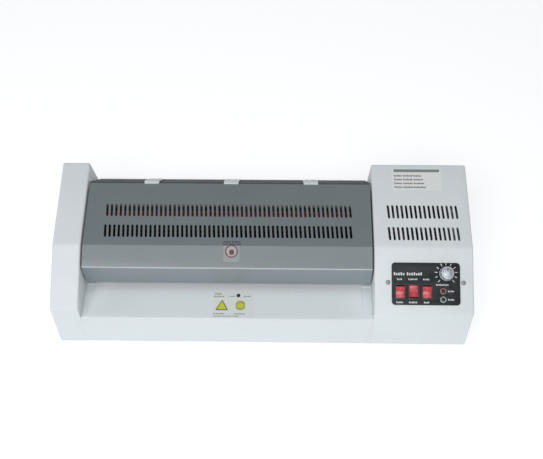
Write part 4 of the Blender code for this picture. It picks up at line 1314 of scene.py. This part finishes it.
def rocker_marks(node, pivot, side):
    """A moulded bar at one end of the rocker's top and a ring at the other."""
    tilt = empty("rocker_datum", pivot, (side * SWITCH_TILT, 0, 0), control_face)
    lean, level, offset = 0.28, 0.00388, 0.0043
    figures = (
        ("bar", [rectangle((0, 0), 0.0005, 0.0024)], 1),
        ("ring", [ring((0, 0), 0.0012, 24), ring((0, 0), 0.0008, 24)], -1),
    )
    for kind, outlines, end in figures:
        where, turn = (0, end * offset, level), (end * lean, 0, 0)
        show(flat(f"{node}_{kind}", outlines, 0.0002, rocker_ink, tilt, where, turn), node)


def switch_frame(name, x):
    """The rim on the panel, and the case below it."""
    node, middle = name + "_switch_frame", (x, SWITCH_LINE)
    low, top = PANEL_TOP + 0.0003, PANEL_TOP + 0.0019
    rim = plaque((0, 0), 0.0134, 0.0186, 0.0008, 4)
    hollow = plaque((0, 0), 0.0109, 0.0156, 0.0004, 3)
    where = (*middle, (low + top) / 2)
    bezel = flat(name + "_switch_rim", [rim, hollow], top - low, black, control_face, where, UPRIGHT)
    show(bevel(bezel, 0.0004, 3, 60), node)
    walls, where = [rectangle((0, 0), 0.0124, 0.0172), hollow], (*middle, low - 0.0053)
    case = flat(name + "_switch_case", walls, 0.0105, black, control_face, where, UPRIGHT)
    floor = around(*middle, 0.0062, 0.0086, -0.013, -0.0085)
    show(join(case, boxes("switch_floor", [floor], None, control_face)), node)


def knob():
    """A fluted knob with a skirt, a spun cap let into its top, and a pointer line."""
    low = PANEL_TOP + 0.0025
    grip = place("knob_grip", mesh_of(knob_form(), "knob_grip", 40), silver, control_face, (*KNOB, low))
    shaft_low, shaft_top = -0.009, low + 0.001
    shaft = ((*KNOB, (shaft_low + shaft_top) / 2), 0.003, shaft_top - shaft_low)
    join(grip, cylinders("knob_shaft", [shaft], None, control_face))
    show(grip, "temperature_knob")
    cap = ((0, 0.0006), (0.0050, 0.0005), (0.0057, 0.0001), (0.0057, 0), (0, 0))
    where = (*KNOB, low + 0.0101)
    show(turned("knob_cap", cap, spun_silver, control_face, where, UPRIGHT), "temperature_knob")
    pointer = [rectangle((KNOB[0], KNOB[1] + 0.0039), 0.0008, 0.0032)]
    ink("knob_pointer", pointer, dark_ink, control_face, "temperature_knob", low + 0.0106)
    under, bottom, bush_top = -COVER_SHEET - GAP, -0.012, PANEL_TOP + 0.0008
    bore, bush, can, inside = 0.0034, 0.0046, 0.008, -0.0102
    profile = (
        (0, inside), (bore, inside), (bore, bush_top), (bush, bush_top),
        (bush, under), (can, under), (can, bottom), (0, bottom),
    )
    path, where = rounded(profile, 0.0003, 2), (*KNOB, 0)
    pot = turned("potentiometer_can", path, bright_steel, control_face, where, UPRIGHT)
    show(pot, "potentiometer")


def knob_form():
    """The knob's surface: rings of (radius, height, share of the flutes' depth)."""
    levels = (
        (0.0034, 0.0000, 0), (0.0079, 0.0000, 0), (0.0085, 0.0004, 0), (0.0085, 0.0012, 0),
        (0.0082, 0.0016, 0.5), (0.0081, 0.0022, 1), (0.0077, 0.0086, 1), (0.0074, 0.0098, 0.7),
        (0.0070, 0.0104, 0), (0.0063, 0.0105, 0), (0.0059, 0.0101, 0), (0.0004, 0.0101, 0),
    )
    flutes, sides, depth = 18, 180, 0.0012
    form = bmesh.new()
    loops = []
    for radius, z, share in levels:
        loop = []
        for i in range(sides):
            angle = 2 * math.pi * i / sides
            r = radius - depth * share * (0.5 - 0.5 * math.cos(flutes * angle)) ** 1.5
            loop.append(form.verts.new((r * math.cos(angle), r * math.sin(angle), z)))
        loops.append(loop)
    return loft(form, loops)


def lamps():
    """Two lamps, each a dark domed lens in a pale bezel."""
    rim, stem, back = PANEL_TOP + 0.0003, 0.0021, -0.009
    angles = (0.001, 0.3, 0.6, 0.9, 1.2, 1.5)
    dome = [(stem * math.sin(a), rim + 0.0004 + 0.0018 * math.cos(a)) for a in angles]
    profile = [(0, dome[0][1]), *dome[1:], (stem, back), (0, back)]
    ring_path = (
        (0.0028, rim + 0.0014), (0.0034, rim + 0.0012), (0.00375, rim + 0.0006), (0.00375, rim),
        (0.0030, rim), (0.0030, -0.005), (0.0023, -0.005), (0.0023, rim + 0.0010),
    )
    paints = ((red_lamp, red_bezel), (green_lamp, green_bezel))
    for (node, spot), (dark, pale) in zip(LAMPS.items(), paints):
        where = (*spot, 0)
        show(turned(node + "_lens", profile, dark, control_face, where, UPRIGHT), node)
        bezel = turned(node + "_bezel", ring_path, pale, control_face, where, UPRIGHT, closed=True)
        show(bezel, node)


def power_inlet():
    """A mains socket: its rim on the cover, the case behind it and three pins."""
    node, (x, y) = "power_inlet", (-INLET[0], INLET[1])
    hollow = plaque((x, y), 0.0184, 0.0134, 0.0025)
    rim = [plaque((x, y), 0.029, 0.024, 0.002), hollow]
    face = flat("inlet_rim", rim, 0.0021, black, back_face, (0, 0, 0.00135), UPRIGHT)
    show(bevel(face, 0.0004, 3, 60), node)
    walls = [rectangle((x, y), 0.0224, 0.0174), hollow]
    shell = flat("inlet_case", walls, 0.0178, black, back_face, (0, 0, -0.0087), UPRIGHT)
    floor = around(x, y, 0.0112, 0.0087, -0.019, -0.016)
    show(join(shell, boxes("inlet_floor", [floor], None, back_face)), node)
    spots = ((-0.005, -0.001), (0.0, 0.002), (0.005, -0.001))
    pins = [around(x + i, y + j, 0.001, 0.002, -0.0165, -0.007) for i, j in spots]
    show(bevel(boxes("inlet_pins", pins, bright_steel, back_face), 0.0003, 3), node)


# ---------------------------------------------------------------- labels


def cover_label():
    """A square film with a plain round mark, on the sloping front of the grey cover."""
    face = empty("grey_slope", (0, *GREY_CREASE), (slope(LIP_BEND, GREY_CREASE), 0, 0), body)
    x, y, node = -0.0357, -0.0068, "top_cover"
    edge = [ring((x, y), 0.0077, 48), ring((x, y), 0.0062, 48)]
    figure = [plaque((x + 0.0002, y - 0.0010), 0.0056, 0.0062, 0.0024, 5)]
    film = [plaque((x, y - 0.0030), 0.0192, 0.0192, 0.0008, 3)]
    ink("cover_label_film", film, label_clear, face, node)
    ink("cover_label_disc", [ring((x, y), 0.0072, 48)], label_rose, face, node, INK)
    ink("cover_label_figure", figure, label_dark_red, face, node, 2 * INK)
    ink("cover_label_ring", edge, label_red, face, node, 2 * INK)
    rows = bars(x - 0.0096, 0.0012, (4, 5, 4), 0.0019) + bars(x - 0.0092, 0.0044, (6, 7), 0.0019)
    ink("cover_label_bars", rows, dark_ink, grey_face, node)


def table_label():
    """A pale film on the feed table with a yellow triangle, a yellow disc and rows of bars."""
    node, face = "feed_table", table_face
    film = [plaque((-0.0335, 0.0235), 0.0490, 0.0400, 0.001, 3)]
    ink("table_label_film", film, label_film, face, node)
    x, y, half = -0.0477, 0.0147, 0.0078
    triangle = [(x - half, y), (x + half, y), (x, y + 0.0168)]
    inner = [(x + (px - x) * 0.78, y + 0.0012 + (py - y) * 0.78) for px, py in triangle]
    border, pale = rounded(triangle, 0.0010, 4, closed=True), rounded(inner, 0.0004, 3, closed=True)
    disc = (-0.0254, 0.0223)
    squares = (((x, y + 0.0076), 0.0196), (disc, 0.0172))
    squares = [plaque(middle, width, 0.0222, 0.0008, 3) for middle, width in squares]
    ink("table_label_squares", squares, label_white, face, node, INK)
    yellow = [pale, ring((disc[0], disc[1] - 0.0006), 0.0040, 40)]
    ink("table_label_yellow", yellow, label_yellow, face, node, 3 * INK)
    ink("table_label_border", [border, pale], label_dark, face, node, 2 * INK)
    ink("table_label_oval", [plaque(disc, 0.0112, 0.0150, 0.0052, 8)], label_ochre, face, node, 2 * INK)
    figure = [plaque((-0.0283, 0.0381), 0.0042, 0.0056, 0.0018, 5)]
    ink("table_label_figure", figure, dark_ink, face, node, INK)
    texts = (
        (-0.0575, 0.0352, (7,), 0.0024), (-0.0560, 0.0392, (4,), 0.0026),
        (-0.0390, 0.0358, (5,), 0.0020), (-0.0215, 0.0355, (5,), 0.0024),
        (-0.0570, 0.0082, (9,), 0.0020), (-0.0325, 0.0082, (9,), 0.0020),
        (-0.0570, 0.0046, (8, 9, 6), 0.0016),
    )
    rows = [bar for text in texts for bar in bars(*text)]
    ink("table_label_bars", rows, label_olive, face, node, INK)


def rating_label():
    """A plate on the right cover, with a green-grey header and rows of bars."""
    x, near, node = 0.1890, 0.150 - CREASE[0], "right_end_cover"
    plate = plaque((x, near + 0.0160), 0.060, 0.032, 0.001, 3)
    header = rectangle((x, near + 0.0285), 0.056, 0.0040)
    ink("rating_label_film", [plate], label_white, top_face, node)
    ink("rating_label_header", [header], label_green, top_face, node, INK)
    rows = []
    for row in range(4):
        rows += bars(x - 0.0272, near + 0.0035 + row * 0.0055, (6, 7, 9 - row), 0.0021)
    ink("rating_label_bars", rows, dark_ink, top_face, node, INK)


# ---------------------------------------------------------------- building it


def empty(name, location, rotation, parent=None):
    made = linked(bpy.data.objects.new(name, None))
    made.location = location
    made.rotation_euler = rotation
    made.parent = parent
    return made


def slope(start, end):
    return math.atan2(end[1] - start[1], end[0] - start[0])


BODY_OF = {}
for name, nodes in frame["record"]["behaviour"]["bodies"].items():
    for node in nodes:
        BODY_OF[node] = name

body = empty("body_datum", (0, FRONT, UNDERSIDE), UPRIGHT)
control_face = empty("control_face", (0, *FRONT_EDGE), (slope(FRONT_EDGE, CREASE), 0, 0), body)
top_face = empty("top_face", (0, *CREASE), (slope(CREASE, REAR_BEND), 0, 0), body)
grey_face = empty("grey_face", (0, *GREY_CREASE), (slope(GREY_CREASE, GREY_REAR_BEND), 0, 0), body)
table_face = empty("table_face", (0, *TABLE_PATH[1]), (slope(TABLE_PATH[1], TABLE_PATH[2]), 0, 0), body)
back_turn = (math.pi - slope(REAR_FOOT, REAR_BEND), 0, math.pi)
back_face = empty("back_face", (0, *REAR_FOOT), back_turn, body)

white = powder_coat("white_paint", (0.737, 0.785, 0.808), (0.68, 0.735, 0.757), (0.60, 0.64, 0.65), 0.42)
# A paler copy of the white paint for the table's upward faces: painted light.
white_painted_light_top = powder_coat(
    "white_paint-painted_light_top", (0.80, 0.855, 0.885), (0.75, 0.805, 0.835), (0.66, 0.70, 0.72), 0.42
)
satin = {"Coat_Weight": 0.5, "Coat_Roughness": 0.15}
grey = powder_coat(
    "grey_paint", (0.180, 0.213, 0.226), (0.155, 0.187, 0.20), (0.27, 0.30, 0.32), 0.34, **satin
)
# A lighter, glossier copy of the grey for the lip bend: a painted highlight.
grey_painted_highlight = powder_coat(
    "grey_paint-painted_highlight", (0.44, 0.50, 0.53), (0.37, 0.43, 0.46), (0.5, 0.55, 0.58), 0.25, **satin
)
# A lighter copy of the grey for the front of the lip: painted light.
grey_painted_light_lip = powder_coat(
    "grey_paint-painted_light_lip", (0.24, 0.283, 0.305), (0.21, 0.25, 0.27), (0.32, 0.36, 0.39), 0.34, **satin
)
# A much darker, duller copy of the grey for the rear bend: painted shade.
grey_painted_shade = powder_coat(
    "grey_paint-painted_shade", (0.085, 0.095, 0.10), (0.07, 0.08, 0.085), (0.14, 0.15, 0.16), 0.6,
    Specular_IOR_Level=0.15,
)
dull_steel = sheet_steel("white_paint-screw", (0.42, 0.43, 0.45), 0.5)
clip_plastic = moulded("white_paint-clip", (0.72, 0.74, 0.75), 0.35, Subsurface_Weight=0.1)
zinc = sheet_steel("zinc_plate", (0.50, 0.51, 0.53), 0.34)
motor_steel = sheet_steel("zinc_plate-motor", (0.32, 0.33, 0.35), 0.3)
core_steel = sheet_steel("board-core", (0.22, 0.22, 0.23), 0.45)
bright_steel = ground_steel("bright_steel", (0.62, 0.63, 0.65), 0.24)
black_steel = ground_steel("bright_steel-black", (0.035, 0.035, 0.038), 0.5)
anodised = ground_steel("dark_anodised", (0.06, 0.06, 0.065), 0.42, (0.02, 1, 1))
bronze = ground_steel("bronze", (0.52, 0.34, 0.15), 0.38, (1, 1, 1))
copper = ground_steel("zinc_plate-terminal", (0.70, 0.42, 0.24), 0.3)
silicone = ground_silicone()
nylon = moulded("nylon", (0.70, 0.68, 0.60), 0.42, Subsurface_Weight=0.1)
black = moulded("black_plastic", (0.018, 0.020, 0.024), 0.42)
panel_black = moulded(
    "black_plastic-panel", (0.012, 0.017, 0.022), 0.45, 0.0003, 0.00002, Specular_IOR_Level=0.3
)
silver = moulded("silver_plastic", (0.50, 0.54, 0.58), 0.35, metallic=0.5, Coat_Weight=0.2)
spun_silver = spun("silver_plastic-cap", (0.58, 0.62, 0.65), 0.42)
red_lens = lens("red_plastic", (0.58, 0.060, 0.080), 0.12)
rocker_ink = printed("red_plastic-mark", (0.66, 0.30, 0.32))
red_lamp = lens("red_lamp", (0.060, 0.004, 0.006), 0.0)
green_lamp = lens("green_lamp", (0.012, 0.022, 0.018), 0.0)
red_bezel = moulded("red_lamp-bezel", (0.36, 0.20, 0.21), 0.4)
green_bezel = moulded("green_lamp-bezel", (0.36, 0.42, 0.38), 0.4)
rubber = foot_rubber()
pcb = circuit_green()
mica = printed("dark_anodised-mica", (0.28, 0.22, 0.14), 0.5)
tape = printed("board-tape", (0.50, 0.36, 0.06), 0.35)
relay_blue = moulded("board-relay", (0.02, 0.10, 0.32), 0.35)
sleeve_dark = moulded("board-capacitor", (0.03, 0.03, 0.06), 0.3)
fuse_glass = lens("board-fuse", (0.55, 0.60, 0.60), 0.0)
white_ink = printed("white_paint-ink", (0.72, 0.74, 0.74))
dark_ink = printed("black_plastic-ink", (0.03, 0.03, 0.035))
label_white = printed("white_paint-label", (0.80, 0.82, 0.82))
label_clear = printed("grey_paint-film", (0.30, 0.32, 0.33))
label_film = printed("white_paint-film", (0.79, 0.825, 0.84), 0.40)
label_yellow = printed("white_paint-yellow", (0.62, 0.68, 0.07))
label_olive = printed("white_paint-olive", (0.30, 0.33, 0.24))
label_green = printed("white_paint-green", (0.20, 0.28, 0.24))
label_ochre = printed("white_paint-ochre", (0.44, 0.45, 0.13))
label_dark = printed("black_plastic-border", (0.10, 0.11, 0.04))
label_red = printed("red_plastic-label", (0.16, 0.050, 0.055))
label_dark_red = printed("red_plastic-dark", (0.085, 0.035, 0.038))
label_rose = printed("white_paint-rose", (0.42, 0.38, 0.39))

for build in (
    covers, grey_cover, cover_clips, feed_table, rear_panel, base_pan, rollers, bushes,
    bearing_blocks, drive, side_plates, tie_bar, heater_plates, cooling_fan, circuit_board,
    panel_plate, panel_print, panel_screws, rocker_switches, knob, lamps, power_inlet,
    cover_label, table_label, rating_label, studio, camera,
):
    build()
